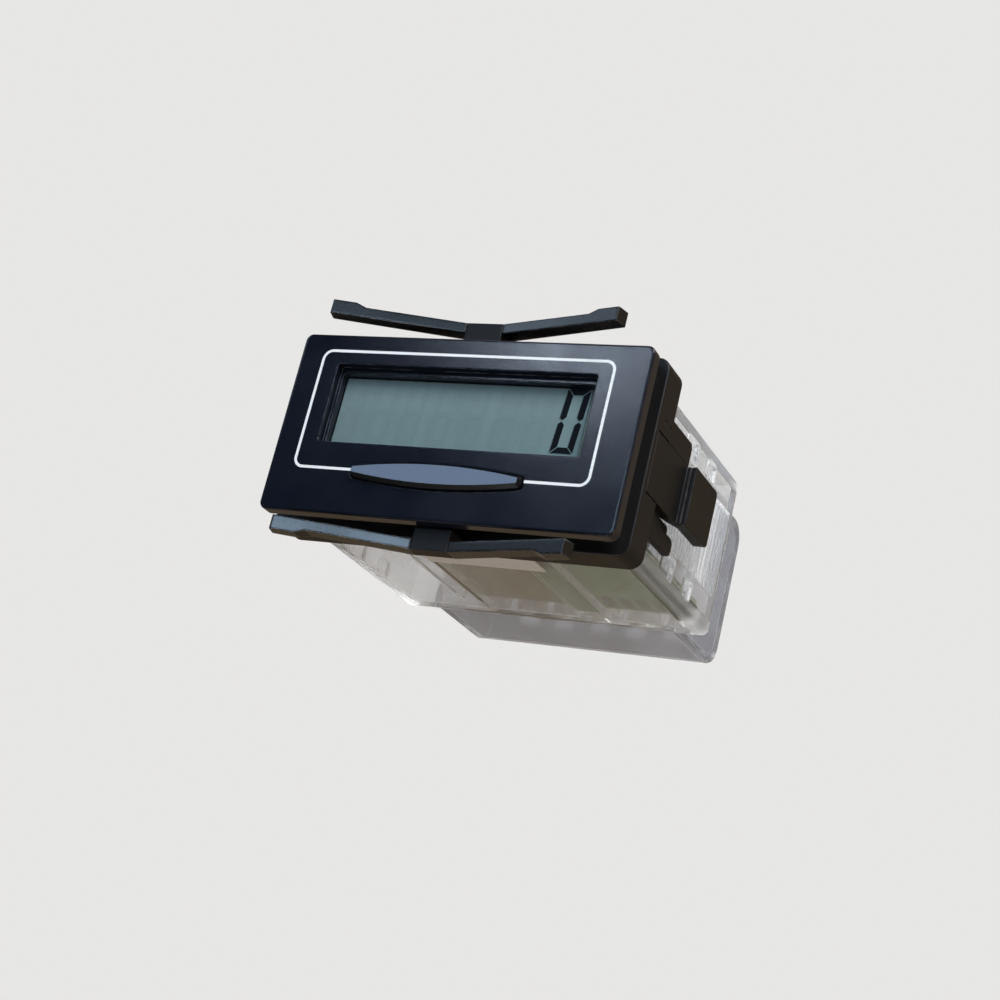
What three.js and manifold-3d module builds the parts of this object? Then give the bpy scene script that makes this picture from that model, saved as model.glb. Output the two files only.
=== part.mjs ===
// Digital counter for panel mounting, with its slide-on mounting clip.
// Millimetres. x runs to the right seen from the front, y from the front to the back, z up.
// The origin is the centre of the panel plane, where the back of the bezel meets the panel.
import * as THREE from "three";
import { mergeVertices } from "three/addons/utils/BufferGeometryUtils.js";
import Module from "manifold-3d";

const wasm = await Module();
wasm.setup();

// Front bezel: a rounded plate, and behind it a collar that plugs into the housing.
const BEZEL_WIDTH = 48;
const BEZEL_HEIGHT = 24;
const BEZEL_DEPTH = 2;
const BEZEL_CORNER_RADIUS = 1;
const BEZEL_EDGE_RADIUS = 0.25;
const COLLAR_DEPTH = 5;
const COLLAR_CLEARANCE = 0.1;
const LATCH_OFFSET = 13;
const LATCH_WIDTH = 4;
const LATCH_RISE = 0.8;
const LATCH_SETBACK = 1.4;
const LATCH_LENGTH = 1.2;
const LATCH_RAMP_LENGTH = 1.2;

// Window in the bezel: a stepped recess round the display.
const WINDOW_BORDER_LEFT = 5.85;
const WINDOW_BORDER_RIGHT = 6.45;
const WINDOW_BORDER_TOP = 4;
const WINDOW_BORDER_BOTTOM = 9.4;
const WINDOW_CORNER_RADIUS = 0.4;
const WINDOW_RECESS_DEPTH = 1.1;
const WINDOW_LEDGE_SIDE = 0.45;
const WINDOW_LEDGE_TOP = 0.9;
const WINDOW_LEDGE_BOTTOM = 0.35;

// Display: two glasses, each with its film, pressed to the window from behind.
const GLASS_SEAT_DEPTH = 2.4;
const GLASS_THICKNESS = 0.7;
const FILM_THICKNESS = 0.2;
const GLASS_OVERLAP = 0.9;
const GLASS_CLEARANCE = 0.1;
const CONTACT_LEDGE = 1.65;
const POLARISER_INSET_RIGHT = 0.9;
const POLARISER_INSET = 0.12;
const ZEBRA_HEIGHT = 1.2;
const ZEBRA_INSET = 1.4;
const HOLDER_POCKET_DEPTH = 1.2;
const HOLDER_RIB = 1.2;
const HOLDER_POCKET_COUNT = 4;

// Reset button: a lens-shaped key in a slot of the bezel, with a retaining flange.
const BUTTON_WIDTH = 23.2;
const BUTTON_CENTRE_X = -0.45;
const BUTTON_DISPLAY_WALL = 0.15;
const BUTTON_COLLAR_WALL = 0.9;
const BUTTON_END_HEIGHT = 1.5;
const BUTTON_CORNER_RADIUS = 0.4;
const BUTTON_LEAST_RADIUS = 0.15;
const BUTTON_RISE = 0.9;
const BUTTON_SIDE_RISE = 0.35;
const BUTTON_FACE_INSET = 0.4;
const BUTTON_GAP = 0.15;
const BUTTON_TRAVEL = 0.5;
const BUTTON_PLATE_DEPTH = 1;
const FLANGE_MARGIN_X = 1.4;
const FLANGE_MARGIN_Z = 0.3;
const FLANGE_THICKNESS = 0.9;
const FLANGE_GAP = 0.1;
const POCKET_CLEARANCE = 0.3;

// Reset switch, soldered to the front of the display board.
const SWITCH_WIDTH = 6;
const SWITCH_HEIGHT = 3.4;
const SWITCH_DEPTH = 2;
const PLUNGER_WIDTH = 2.8;
const PLUNGER_HEIGHT = 1.4;
const PLUNGER_ENGAGEMENT = 0.8;
const PLUNGER_CLEARANCE = 0.1;
const PLUNGER_CONTACT_GAP = 0.05;

// Clear rear housing, which stands back from the bezel's edges so that it passes the panel.
const RIM_SIDE = 1.6;
const RIM_TOP = 1.15;
const HOUSING_LENGTH = 36.4;
const HOUSING_WALL = 1.3;
const HOUSING_CORNER_RADIUS = 0.8;
const HOUSING_INNER_RADIUS = 0.5;
const SHOULDER_WIDTH = 1.6;
const SHOULDER_HEIGHT = 0.8;
const SHOULDER_LENGTH = 4;

// Ratchet down both sides of the housing, and the moulded pockets above and below it.
const RATCHET_START = 6.7;
const RATCHET_PITCH = 1.15;
const RATCHET_END_ROOM = 0.9;
const RATCHET_POCKET_GAP = 0.4;
const RATCHET_DEPTH = 0.5;
const RATCHET_SUNK = 0.1;
const POCKET_DEPTH = 0.7;
const POCKET_EDGE_ROOM = 1.55;
const POCKET_CORNER_RADIUS = 0.3;
const FRONT_POCKET_START = 16.8;
const FRONT_POCKET_LENGTH = 4.3;
const FRONT_POCKET_HEIGHT = 3.1;
const REAR_POCKET_START = 25;
const REAR_POCKET_LENGTH = 3;
const REAR_POCKET_HEIGHT = 2.5;

// Boards.
const BOARD_THICKNESS = 1;
const DISPLAY_BOARD_MARGIN = 0.7;
const BOARD_CORNER_RADIUS = 0.5;
const BOARD_GAP = 0.3;
const MAIN_BOARD_LEFT = -11;
const MAIN_BOARD_SIDE_GAP = 0.6;
const MAIN_BOARD_BACK_ROOM = 1.7;
const MAIN_BOARD_HEIGHT = 1.15;
const WIDE_RAIL_X = 7;
const WIDE_RAIL_WIDTH = 4;
const WIDE_RAIL_GAP = 0.1;
const THIN_RAIL_X = -8.7;
const THIN_RAIL_WIDTH = 0.6;
const GUIDE_WIDTH = 0.8;
const GUIDE_HEIGHT = 2.8;
const GUIDE_GAP = 0.1;

// Parts on the boards.
const CONNECTOR_WIDTH = 9;
const CONNECTOR_DEPTH = 2.5;
const CONNECTOR_HEIGHT = 2.5;
const CONNECTOR_SIDE_ROOM = 0.8;
const CONNECTOR_SLOTS = 5;
const CONNECTOR_SLOT_WIDTH = 0.7;
const CONNECTOR_SLOT_DEPTH = 0.6;
const CHIP_SIZE = 9;
const CHIP_THICKNESS = 1.4;
const CHIP_CHAMFER = 0.6;
const CHIP_CELL_GAP = 0.6;
const CHIP_CONNECTOR_GAP = 0.6;
const CRYSTAL_LENGTH = 8;
const CRYSTAL_WIDTH = 3.2;
const CRYSTAL_HEIGHT = 2.6;
const CRYSTAL_END_FLAT = 0.2;
const CRYSTAL_CELL_GAP = 0.6;
const CRYSTAL_CENTRE_Z = 2;
const CAPACITOR_RADIUS = 2.5;
const CAPACITOR_HEIGHT = 5.4;
const CAPACITOR_BASE_HEIGHT = 0.8;
const CAPACITOR_GROOVE_HEIGHT = 1.5;
const CAPACITOR_GROOVE_DEPTH = 0.2;
const CAPACITOR_SIDE_ROOM = 3;
const CAPACITOR_FIRST_Y = 14;
const CAPACITOR_SPACING = 10;

// Lithium cell on the main board, with its two solder tabs.
const CELL_TOP_ROOM = 2.35;
const CELL_LEG_GAP = 0.5;
const CELL_EDGE = 0.5;
const CELL_CAP_RADIUS = 3;
const CELL_CAP_RISE = 0.4;
const CELL_CLEARANCE = 0.1;
const TAB_THICKNESS = 0.3;
const TAB_WIDTH = 4;

// Terminal block behind the housing: bays between partitions.
const TERMINAL_PITCH = 5.6;
const BLOCK_DEPTH = 4.8;
const BLOCK_TOP_GAP = 0.35;
const BLOCK_SIDE_GAP = 0.3;
const BLOCK_LEG_GAP = 0.4;
const PARTITION_THICKNESS = 1;
const PARTITION_BACK_GAP = 3.3;

// Terminal plates and screws.
const PLATE_SIDE_GAP = 0.15;
const PLATE_THICKNESS = 0.8;
const PLATE_TOP = 6.4;
const LEG_WIDTH = 2.2;
const LEG_OFFSET = 1;
const LEG_OVERLAP = 1.1;
const LEG_CLEARANCE = 0.2;
const SCREW_Z = 2.4;
const SCREW_RADIUS = 1.5;
const SCREW_CLEARANCE = 0.06;
const SCREW_LENGTH = 4.4;
const HEAD_SIDE_GAP = 0.2;
const HEAD_HEIGHT = 1.9;
const HEAD_EDGE = 0.3;
const HEAD_SEAT_GAP = 0.05;
const CROSS_WIDTH = 0.7;
const CROSS_SPAN = 2.8;
const CROSS_DEPTH = 1.1;
const BORE_RUNOUT = 0.3;

// Clear terminal cover.
const COVER_SIDE_INSET = 4.5;
const COVER_TOP_INSET = 0.3;
const COVER_LENGTH = 16.6;
const COVER_WALL = 1.1;
const COVER_BEND_RADIUS = 3.2;
const COVER_EDGE_RADIUS = 0.4;
const DRIVER_HOLE_RADIUS = 1.7;
const ENTRY_SIZE = 3.4;
const ENTRY_Z = -4.6;
const ENTRY_CORNER_RADIUS = 0.5;

// Panel gasket and rating label.
const GASKET_THICKNESS = 0.5;
const GASKET_BORDER = 0.7;
const GASKET_CLEARANCE = 0.1;
const LABEL_LEFT = -8.7;
const LABEL_RIGHT = 7.8;
const LABEL_FRONT = 4;
const LABEL_BACK = 16.2;
const LABEL_THICKNESS = 0.08;

// Mounting clip: a frame that slides on the housing. It looks the same turned half round about y,
// but its left and right are not mirror images.
const CLIP_FRONT = 2.6;
const CLIP_DEPTH = 4.7;
const CLIP_CLEARANCE = 0.15;
const CLIP_SIDE_WALL = 1.72;
const CLIP_TOP_WALL = 1.67;
const CLIP_CORNER_RADIUS = 1.7;
const CLIP_INNER_RADIUS = 0.9;
const CLIP_EDGE_RADIUS = 0.2;
const NOTCH_SIDE_ROOM = 3.57;
const NOTCH_WIDTH = 2.7;
const NOTCH_DEPTH = 1.7;
const NOTCH_HEIGHT = 1;
const RELIEF_HEIGHT = 5.3;
const RELIEF_WIDTH = 0.12;
const RELIEF_DEPTH = 0.15;
const RELIEF_END_RADIUS = 0.22;
const RELIEF_END_BACK = 2;

// Bridge in the middle of the clip's top and bottom, which carries two spring arms.
const BRIDGE_WIDTH = 5;
const BRIDGE_FRONT = -0.24;
const BRIDGE_BACK = 1.9;
const BRIDGE_RAMP_BACK = 4.4;
const BRIDGE_BEZEL_GAP = 0.15;

// Spring arms, which stand above and below the bezel and reach past its face.
const ARM_TIP_ROOM = 4.4;
const ARM_TIP_Y = -4.9;
const ARM_ROOT_THICKNESS = 2.3;
const ARM_TIP_THICKNESS = 1.95;
const ARM_BEZEL_GAP = 1.7;
const ARM_HEIGHT = 1.3;
const ARM_PAD_RISE = 0.5;
const ARM_PAD_LENGTH = 3;
const ARM_PAD_RAMP_LENGTH = 1.3;
const ARM_TIP_RADIUS = 0.25;
const ARM_ROOT_GAP = 0.08;

// Thin guide tongues of the clip, and the thick ones on the other side of each release lever.
const TONGUE_HOUSING_GAP = 0.3;
const THICK_TONGUE_THICKNESS = 1.4;
const THICK_TONGUE_WIDTH = 2.9;
const THICK_TONGUE_BACK = 14.6;
const TONGUE_THICKNESS = 0.8;
const TONGUE_BACK = 16.1;
const TONGUE_WIDTH = 2.2;
const TONGUE_LEVER_GAP = 1.2;
const TONGUE_ROOT_GAP = 0.2;
const TONGUE_ROOT_BACK = 9.1;
const TONGUE_FILLET_BACK = 12;
const TONGUE_CHAMFER = 0.5;
const WEB_THICKNESS = 0.4;
const WEB_BACK = 14.7;

// Release levers with their finger tabs and pawl teeth.
const LEVER_HEIGHT = 7.5;
const LEVER_OFFSET = 0.3;
const LEVER_SLIT = 0.25;
const LEVER_ROOT_Y = 3.4;
const LEVER_ROOT_GAP = 0.08;
const LEVER_HOUSING_GAP = 0.4;
const LEVER_BEND_Y = 12.2;
const FINGER_FRONT = 14;
const FINGER_BACK = 22.1;
const FINGER_RISE = 1.28;
const FINGER_THICKNESS = 1.55;
const FINGER_RAMP_BACK = 15.5;
const FINGER_CORNER_RADIUS = 0.7;
const FINGER_GROOVE = 0.2;
const PAWL_TEETH = 3;
const PAWL_CLEARANCE = 0.05;
const PAWL_HEIGHT = 6;

// Fineness of curves, and how far a cutter runs past the wall that it cuts.
const CURVE_STEPS = 7;
const FINE_CURVE_STEPS = 14;
const EDGE_STEPS = 2;
const ROUND_STEPS = 28;
const SCREW_STEPS = 14;
const OVERRUN = 0.5;
const MERGE_DISTANCE = 0.0001;

// Colours.
const BLACK = 0x15171c;
const CLIP_BLACK = 0x121317;
const KEY_GREY = 0x5d6577;
const GASKET_BLACK = 0x1c1c1e;
const CLEAR = 0xd9dadb;
const LCD_GREEN = 0x8fa39a;
const GLASS_TINT = 0xb8c6c0;
const REFLECTOR_GREY = 0xa9b3ac;
const HOLDER_WHITE = 0xe4e4e0;
const BOARD_GREEN = 0x4d6a4c;
const CARBON_BLACK = 0x2a2a2c;
const STEEL = 0xb9bcc0;
const NICKEL = 0xc9c7bf;
const LABEL_GREY = 0xc9c2bf;
const CELL_GREY = 0xb4b8bc;

// Signs of the left and right sides, or of bottom and top.
const SIDES = [-1, 1];

// Planes and rectangles that several pieces share.
const FACE_Y = -BEZEL_DEPTH;
const GLASS_Y = FACE_Y + GLASS_SEAT_DEPTH;
const BOARD_Y = COLLAR_DEPTH;
const BOARD_BACK_Y = BOARD_Y + BOARD_THICKNESS;
const HOUSING_WIDTH = BEZEL_WIDTH - 2 * RIM_SIDE;
const HOUSING_HEIGHT = BEZEL_HEIGHT - 2 * RIM_TOP;
const INNER_HALF_WIDTH = HOUSING_WIDTH / 2 - HOUSING_WALL;
const INNER_HALF_HEIGHT = HOUSING_HEIGHT / 2 - HOUSING_WALL;
const MAIN_BOARD_BOTTOM = -INNER_HALF_HEIGHT + MAIN_BOARD_HEIGHT;
const MAIN_BOARD_TOP = MAIN_BOARD_BOTTOM + BOARD_THICKNESS;
const MAIN_BOARD_RIGHT = INNER_HALF_WIDTH - MAIN_BOARD_SIDE_GAP;
const PLATE_Y = HOUSING_LENGTH + BLOCK_DEPTH;
const COVER_BACK_Y = HOUSING_LENGTH + COVER_LENGTH;
const MAIN_BOARD_BACK = HOUSING_LENGTH - HOUSING_WALL - MAIN_BOARD_BACK_ROOM;
const CELL_RADIUS = (INNER_HALF_HEIGHT - MAIN_BOARD_TOP - CELL_CLEARANCE - CELL_TOP_ROOM) / 2;
const POCKET_TOP = HOUSING_HEIGHT / 2 - POCKET_EDGE_ROOM;
const COVER_WIDTH = HOUSING_WIDTH - 2 * COVER_SIDE_INSET;
const COVER_HEIGHT = HOUSING_HEIGHT - 2 * COVER_TOP_INSET;
const BLOCK_SPAN = COVER_WIDTH - 2 * (COVER_WALL + BLOCK_SIDE_GAP);
const TERMINAL_COUNT = Math.floor((BLOCK_SPAN - PARTITION_THICKNESS) / TERMINAL_PITCH);
const BAY_WIDTH = TERMINAL_PITCH - PARTITION_THICKNESS;
const CLIP_WIDTH = HOUSING_WIDTH + 2 * (CLIP_CLEARANCE + CLIP_SIDE_WALL);
const CLIP_HEIGHT = HOUSING_HEIGHT + 2 * (CLIP_CLEARANCE + CLIP_TOP_WALL);
const CLIP_BACK = CLIP_FRONT + CLIP_DEPTH;
const ARM_TIP_X = BEZEL_WIDTH / 2 - ARM_TIP_ROOM;
const ARM_INNER = BEZEL_HEIGHT / 2 + ARM_BEZEL_GAP;
const ARM_OUTER = ARM_INNER + ARM_HEIGHT;
const LEVER_INNER_X = HOUSING_WIDTH / 2 + LEVER_HOUSING_GAP;
const CREST_X = HOUSING_WIDTH / 2 - RATCHET_SUNK;
const RATCHET_TEETH = Math.floor((HOUSING_LENGTH - RATCHET_END_ROOM - RATCHET_START) / RATCHET_PITCH);

const windowOpening = {
  left: WINDOW_BORDER_LEFT - BEZEL_WIDTH / 2,
  right: BEZEL_WIDTH / 2 - WINDOW_BORDER_RIGHT,
  bottom: WINDOW_BORDER_BOTTOM - BEZEL_HEIGHT / 2,
  top: BEZEL_HEIGHT / 2 - WINDOW_BORDER_TOP,
};
const displayOpening = {
  left: windowOpening.left + WINDOW_LEDGE_SIDE,
  right: windowOpening.right - WINDOW_LEDGE_SIDE,
  bottom: windowOpening.bottom + WINDOW_LEDGE_BOTTOM,
  top: windowOpening.top - WINDOW_LEDGE_TOP,
};
const frontGlass = {
  left: displayOpening.left - GLASS_OVERLAP,
  right: displayOpening.right + GLASS_OVERLAP,
  bottom: displayOpening.bottom - CONTACT_LEDGE,
  top: displayOpening.top + GLASS_OVERLAP,
};
const rearGlass = { ...frontGlass, bottom: frontGlass.bottom + CONTACT_LEDGE - GLASS_CLEARANCE };

// The reset button takes the room between the display and the collar's lower wall.
const flangeTop = frontGlass.bottom - GLASS_CLEARANCE - BUTTON_DISPLAY_WALL - POCKET_CLEARANCE;
const flangeBottom = COLLAR_CLEARANCE - INNER_HALF_HEIGHT + BUTTON_COLLAR_WALL + POCKET_CLEARANCE;
const BUTTON_CENTRE_Z = (flangeTop + flangeBottom) / 2;
const BUTTON_MIDDLE_HEIGHT = flangeTop - flangeBottom - 2 * FLANGE_MARGIN_Z;

// A closed three.js geometry as a solid that can be joined and cut.
function solid(geometry) {
  const loose = geometry.index ? geometry.toNonIndexed() : geometry;
  const bare = new THREE.BufferGeometry();
  bare.setAttribute("position", loose.getAttribute("position"));
  const merged = mergeVertices(bare, MERGE_DISTANCE);
  const corners = merged.index.array;
  const triangles = [];
  for (let i = 0; i < corners.length; i += 3) {
    const [a, b, c] = corners.slice(i, i + 3);
    if (a !== b && b !== c && c !== a) {
      triangles.push(a, b, c);
    }
  }
  const vertProperties = merged.getAttribute("position").array;
  const triVerts = new Uint32Array(triangles);
  return new wasm.Manifold(new wasm.Mesh({ numProp: 3, vertProperties, triVerts }));
}

function join(first, ...others) {
  return others.reduce((whole, piece) => whole.add(piece), first);
}

function cut(whole, ...cutters) {
  return cutters.reduce((rest, cutter) => rest.subtract(cutter), whole);
}

// A finished solid back as a three.js geometry with flat faces.
function geometryOf(made) {
  const { vertProperties, triVerts } = made.getMesh();
  const geometry = new THREE.BufferGeometry();
  geometry.setAttribute("position", new THREE.BufferAttribute(new Float32Array(vertProperties), 3));
  geometry.setIndex(new THREE.BufferAttribute(new Uint32Array(triVerts), 1));
  const flat = geometry.toNonIndexed();
  flat.computeVertexNormals();
  return flat;
}

// Outlines.
function polygon(points) {
  return new THREE.Shape(points.map(([a, b]) => new THREE.Vector2(a, b)));
}

function roundedOutline({ left, right, bottom, top }, radius) {
  const shape = new THREE.Shape();
  const quarter = Math.PI / 2;
  shape.moveTo(left + radius, bottom);
  shape.lineTo(right - radius, bottom);
  shape.absarc(right - radius, bottom + radius, radius, -quarter, 0);
  shape.lineTo(right, top - radius);
  shape.absarc(right - radius, top - radius, radius, 0, quarter);
  shape.lineTo(left + radius, top);
  shape.absarc(left + radius, top - radius, radius, quarter, Math.PI);
  shape.lineTo(left, bottom + radius);
  shape.absarc(left + radius, bottom + radius, radius, Math.PI, 3 * quarter);
  return shape;
}

// An outline's points without repeats, so that outlines drawn alike have as many points each.
function distinctPoints(shape, steps) {
  const points = shape.getPoints(steps);
  const next = (i) => points[(i + 1) % points.length];
  return points.filter((point, i) => point.distanceTo(next(i)) > MERGE_DISTANCE);
}

function centred(width, height, centreX = 0, centreZ = 0) {
  return {
    left: centreX - width / 2,
    right: centreX + width / 2,
    bottom: centreZ - height / 2,
    top: centreZ + height / 2,
  };
}

function grown({ left, right, bottom, top }, margin) {
  return { left: left - margin, right: right + margin, bottom: bottom - margin, top: top + margin };
}

// The rectangle between two values of x and two of z, each pair in any order.
function between(xs, zs) {
  return { left: Math.min(...xs), right: Math.max(...xs), bottom: Math.min(...zs), top: Math.max(...zs) };
}

function extruded(shape, length, edge, steps) {
  return new THREE.ExtrudeGeometry(shape, {
    depth: length - 2 * edge,
    curveSegments: steps,
    bevelEnabled: edge > 0,
    bevelThickness: edge,
    bevelSize: edge,
    bevelOffset: -edge,
    bevelSegments: EDGE_STEPS,
  });
}

// An outline in x and z, carried from front to back along y.
function alongY(shape, front, back, edge = 0, steps = CURVE_STEPS) {
  const geometry = extruded(shape, back - front, edge, steps);
  geometry.rotateX(Math.PI / 2);
  geometry.translate(0, back - edge, 0);
  return solid(geometry);
}

// An outline in y and z, carried along x.
function alongX(shape, left, right, edge = 0, steps = CURVE_STEPS) {
  const geometry = extruded(shape, right - left, edge, steps);
  const turn = new THREE.Matrix4().makeBasis(
    new THREE.Vector3(0, 1, 0),
    new THREE.Vector3(0, 0, 1),
    new THREE.Vector3(1, 0, 0),
  );
  geometry.applyMatrix4(turn);
  geometry.translate(left + edge, 0, 0);
  return solid(geometry);
}

// An outline in x and y, carried up along z.
function alongZ(shape, bottom, top, edge = 0, steps = CURVE_STEPS) {
  const geometry = extruded(shape, top - bottom, edge, steps);
  geometry.translate(0, 0, bottom + edge);
  return solid(geometry);
}

function block({ left, right, bottom, top }, front, back) {
  const geometry = new THREE.BoxGeometry(right - left, back - front, top - bottom);
  geometry.translate((left + right) / 2, (front + back) / 2, (bottom + top) / 2);
  return solid(geometry);
}

// A turned piece about its own y axis, from a profile of radius and y.
function turned(profile, steps) {
  const points = profile.map(([radius, y]) => new THREE.Vector2(radius, y));
  return solid(new THREE.LatheGeometry(points, steps));
}

// A skin through rings of the same number of points, closed at both ends.
function lofted(rings) {
  const count = rings[0].length;
  const positions = rings.flat().flatMap(({ x, y, z }) => [x, y, z]);
  const index = [];
  for (let ring = 0; ring + 1 < rings.length; ring += 1) {
    for (let i = 0; i < count; i += 1) {
      const here = ring * count + i;
      const next = ring * count + ((i + 1) % count);
      index.push(here, next, next + count);
      index.push(here, next + count, here + count);
    }
  }
  const flat = rings[0].map(({ x, z }) => new THREE.Vector2(x, z));
  const last = (rings.length - 1) * count;
  for (const [a, b, c] of THREE.ShapeUtils.triangulateShape(flat, [])) {
    index.push(a, c, b);
    index.push(last + a, last + b, last + c);
  }
  const geometry = new THREE.BufferGeometry();
  geometry.setAttribute("position", new THREE.Float32BufferAttribute(positions, 3));
  geometry.setIndex(index);
  return solid(geometry);
}

function material(color, roughness, metalness = 0, opacity = 1) {
  return new THREE.MeshStandardMaterial({
    color,
    roughness,
    metalness,
    opacity,
    transparent: opacity < 1,
  });
}

function mesh(name, made, finish) {
  const piece = new THREE.Mesh(geometryOf(made), finish);
  piece.name = name;
  return piece;
}

// The reset button's outline: two shallow arcs between short straight ends.
function buttonOutline(margin) {
  const { left, right, bottom, top } = centred(
    BUTTON_WIDTH + 2 * margin,
    BUTTON_END_HEIGHT + 2 * margin,
    BUTTON_CENTRE_X,
    BUTTON_CENTRE_Z,
  );
  const bulge = BUTTON_MIDDLE_HEIGHT - BUTTON_END_HEIGHT;
  const radius = Math.max(BUTTON_CORNER_RADIUS + margin, BUTTON_LEAST_RADIUS);
  const quarter = Math.PI / 2;
  const shape = new THREE.Shape();
  shape.moveTo(left + radius, bottom);
  shape.quadraticCurveTo(BUTTON_CENTRE_X, bottom - bulge, right - radius, bottom);
  shape.absarc(right - radius, bottom + radius, radius, -quarter, 0);
  shape.lineTo(right, top - radius);
  shape.absarc(right - radius, top - radius, radius, 0, quarter);
  shape.quadraticCurveTo(BUTTON_CENTRE_X, top + bulge, left + radius, top);
  shape.absarc(left + radius, top - radius, radius, quarter, Math.PI);
  shape.lineTo(left, bottom + radius);
  shape.absarc(left + radius, bottom + radius, radius, Math.PI, 3 * quarter);
  return shape;
}

const buttonFlange = {
  left: BUTTON_CENTRE_X - BUTTON_WIDTH / 2 - FLANGE_MARGIN_X,
  right: BUTTON_CENTRE_X + BUTTON_WIDTH / 2 + FLANGE_MARGIN_X,
  bottom: flangeBottom,
  top: flangeTop,
};

// A wedge that clicks into a slot in the housing's top or bottom wall.
function latch(side, x) {
  const seat = side * (INNER_HALF_HEIGHT - COLLAR_CLEARANCE - OVERRUN);
  const crest = side * (INNER_HALF_HEIGHT - COLLAR_CLEARANCE + LATCH_RISE);
  const wedge = polygon([
    [LATCH_SETBACK, seat],
    [LATCH_SETBACK + LATCH_LENGTH + LATCH_RAMP_LENGTH, seat],
    [LATCH_SETBACK + LATCH_LENGTH, crest],
    [LATCH_SETBACK, crest],
  ]);
  return alongX(wedge, x - LATCH_WIDTH / 2, x + LATCH_WIDTH / 2);
}

function latchSlot(side, x) {
  const halfWidth = LATCH_WIDTH / 2 + COLLAR_CLEARANCE;
  const slot = between(
    [x - halfWidth, x + halfWidth],
    [side * (INNER_HALF_HEIGHT - OVERRUN), side * (HOUSING_HEIGHT / 2 + OVERRUN)],
  );
  const back = LATCH_SETBACK + LATCH_LENGTH + LATCH_RAMP_LENGTH;
  return block(slot, LATCH_SETBACK - COLLAR_CLEARANCE, back + COLLAR_CLEARANCE);
}

const latchPlaces = SIDES.flatMap((side) => SIDES.map((end) => [side, end * LATCH_OFFSET]));

function frontBezel() {
  const face = centred(BEZEL_WIDTH, BEZEL_HEIGHT);
  const plate = alongY(roundedOutline(face, BEZEL_CORNER_RADIUS), FACE_Y, 0, BEZEL_EDGE_RADIUS);
  const collarOutline = centred(
    2 * (INNER_HALF_WIDTH - COLLAR_CLEARANCE),
    2 * (INNER_HALF_HEIGHT - COLLAR_CLEARANCE),
  );
  const collar = alongY(roundedOutline(collarOutline, HOUSING_INNER_RADIUS), -BEZEL_DEPTH / 2, COLLAR_DEPTH);
  const latches = latchPlaces.map(([side, x]) => latch(side, x));
  const recess = roundedOutline(windowOpening, WINDOW_CORNER_RADIUS);
  const opening = roundedOutline(displayOpening, WINDOW_CORNER_RADIUS);
  const stepY = FACE_Y + WINDOW_RECESS_DEPTH;
  const pocketFloorY = FACE_Y + BEZEL_DEPTH + BUTTON_PLATE_DEPTH;
  return cut(
    join(plate, collar, ...latches),
    alongY(recess, FACE_Y - OVERRUN, stepY),
    alongY(opening, stepY - OVERRUN, GLASS_Y + OVERRUN),
    block(grown(frontGlass, GLASS_CLEARANCE), GLASS_Y, COLLAR_DEPTH + OVERRUN),
    alongY(buttonOutline(BUTTON_GAP), FACE_Y - OVERRUN, COLLAR_DEPTH, 0, FINE_CURVE_STEPS),
    block(grown(buttonFlange, POCKET_CLEARANCE), pocketFloorY, COLLAR_DEPTH + OVERRUN),
  );
}

// Display, from the front: film, front glass, rear glass, reflecting film, holder.
const rearGlassY = GLASS_Y + GLASS_THICKNESS;
const reflectorY = rearGlassY + GLASS_THICKNESS;
const holderY = reflectorY + FILM_THICKNESS;

function polariser() {
  const inset = grown(displayOpening, -POLARISER_INSET);
  const film = { ...inset, right: displayOpening.right - POLARISER_INSET_RIGHT };
  return block(film, GLASS_Y - FILM_THICKNESS, GLASS_Y);
}

function zebraStrip() {
  const strip = {
    left: frontGlass.left + ZEBRA_INSET,
    right: frontGlass.right - ZEBRA_INSET,
    bottom: rearGlass.bottom - GLASS_CLEARANCE - ZEBRA_HEIGHT,
    top: rearGlass.bottom - GLASS_CLEARANCE,
  };
  return block(strip, rearGlassY, BOARD_Y);
}

// The white holder keeps the glass at its distance from the board; its back is ribbed.
function lcdHolder() {
  const pitch = (rearGlass.right - rearGlass.left - HOLDER_RIB) / HOLDER_POCKET_COUNT;
  const pockets = Array.from({ length: HOLDER_POCKET_COUNT }, (_, i) => {
    const left = rearGlass.left + HOLDER_RIB + i * pitch;
    const hollow = {
      left,
      right: left + pitch - HOLDER_RIB,
      bottom: rearGlass.bottom + HOLDER_RIB,
      top: rearGlass.top - HOLDER_RIB,
    };
    return block(hollow, BOARD_Y - HOLDER_POCKET_DEPTH, BOARD_Y + OVERRUN);
  });
  return cut(block(rearGlass, holderY, BOARD_Y), ...pockets);
}

// The key: a straight skirt in the slot, then a bevelled crown, and a flange behind the plate.
const flangeFrontY = BUTTON_PLATE_DEPTH + FLANGE_GAP;
const flangeBackY = flangeFrontY + FLANGE_THICKNESS;

function resetButton() {
  const ring = (margin, y) =>
    distinctPoints(buttonOutline(margin), FINE_CURVE_STEPS).map(({ x, y: z }) => ({ x, y, z }));
  const crown = lofted([
    ring(0, flangeBackY),
    ring(0, FACE_Y - BUTTON_SIDE_RISE),
    ring(-BUTTON_FACE_INSET, FACE_Y - BUTTON_RISE),
  ]);
  return join(crown, block(buttonFlange, flangeFrontY, flangeBackY));
}

const switchFrontY = BOARD_Y - SWITCH_DEPTH;
const plungerOutline = centred(PLUNGER_WIDTH, PLUNGER_HEIGHT, BUTTON_CENTRE_X, BUTTON_CENTRE_Z);
const plungerBackY = switchFrontY + PLUNGER_ENGAGEMENT;

function resetSwitch() {
  const body = centred(SWITCH_WIDTH, SWITCH_HEIGHT, BUTTON_CENTRE_X, BUTTON_CENTRE_Z);
  const well = grown(plungerOutline, PLUNGER_CLEARANCE);
  const wellBack = plungerBackY + BUTTON_TRAVEL + PLUNGER_CLEARANCE;
  return cut(block(body, switchFrontY, BOARD_Y), block(well, switchFrontY - OVERRUN, wellBack));
}

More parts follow.
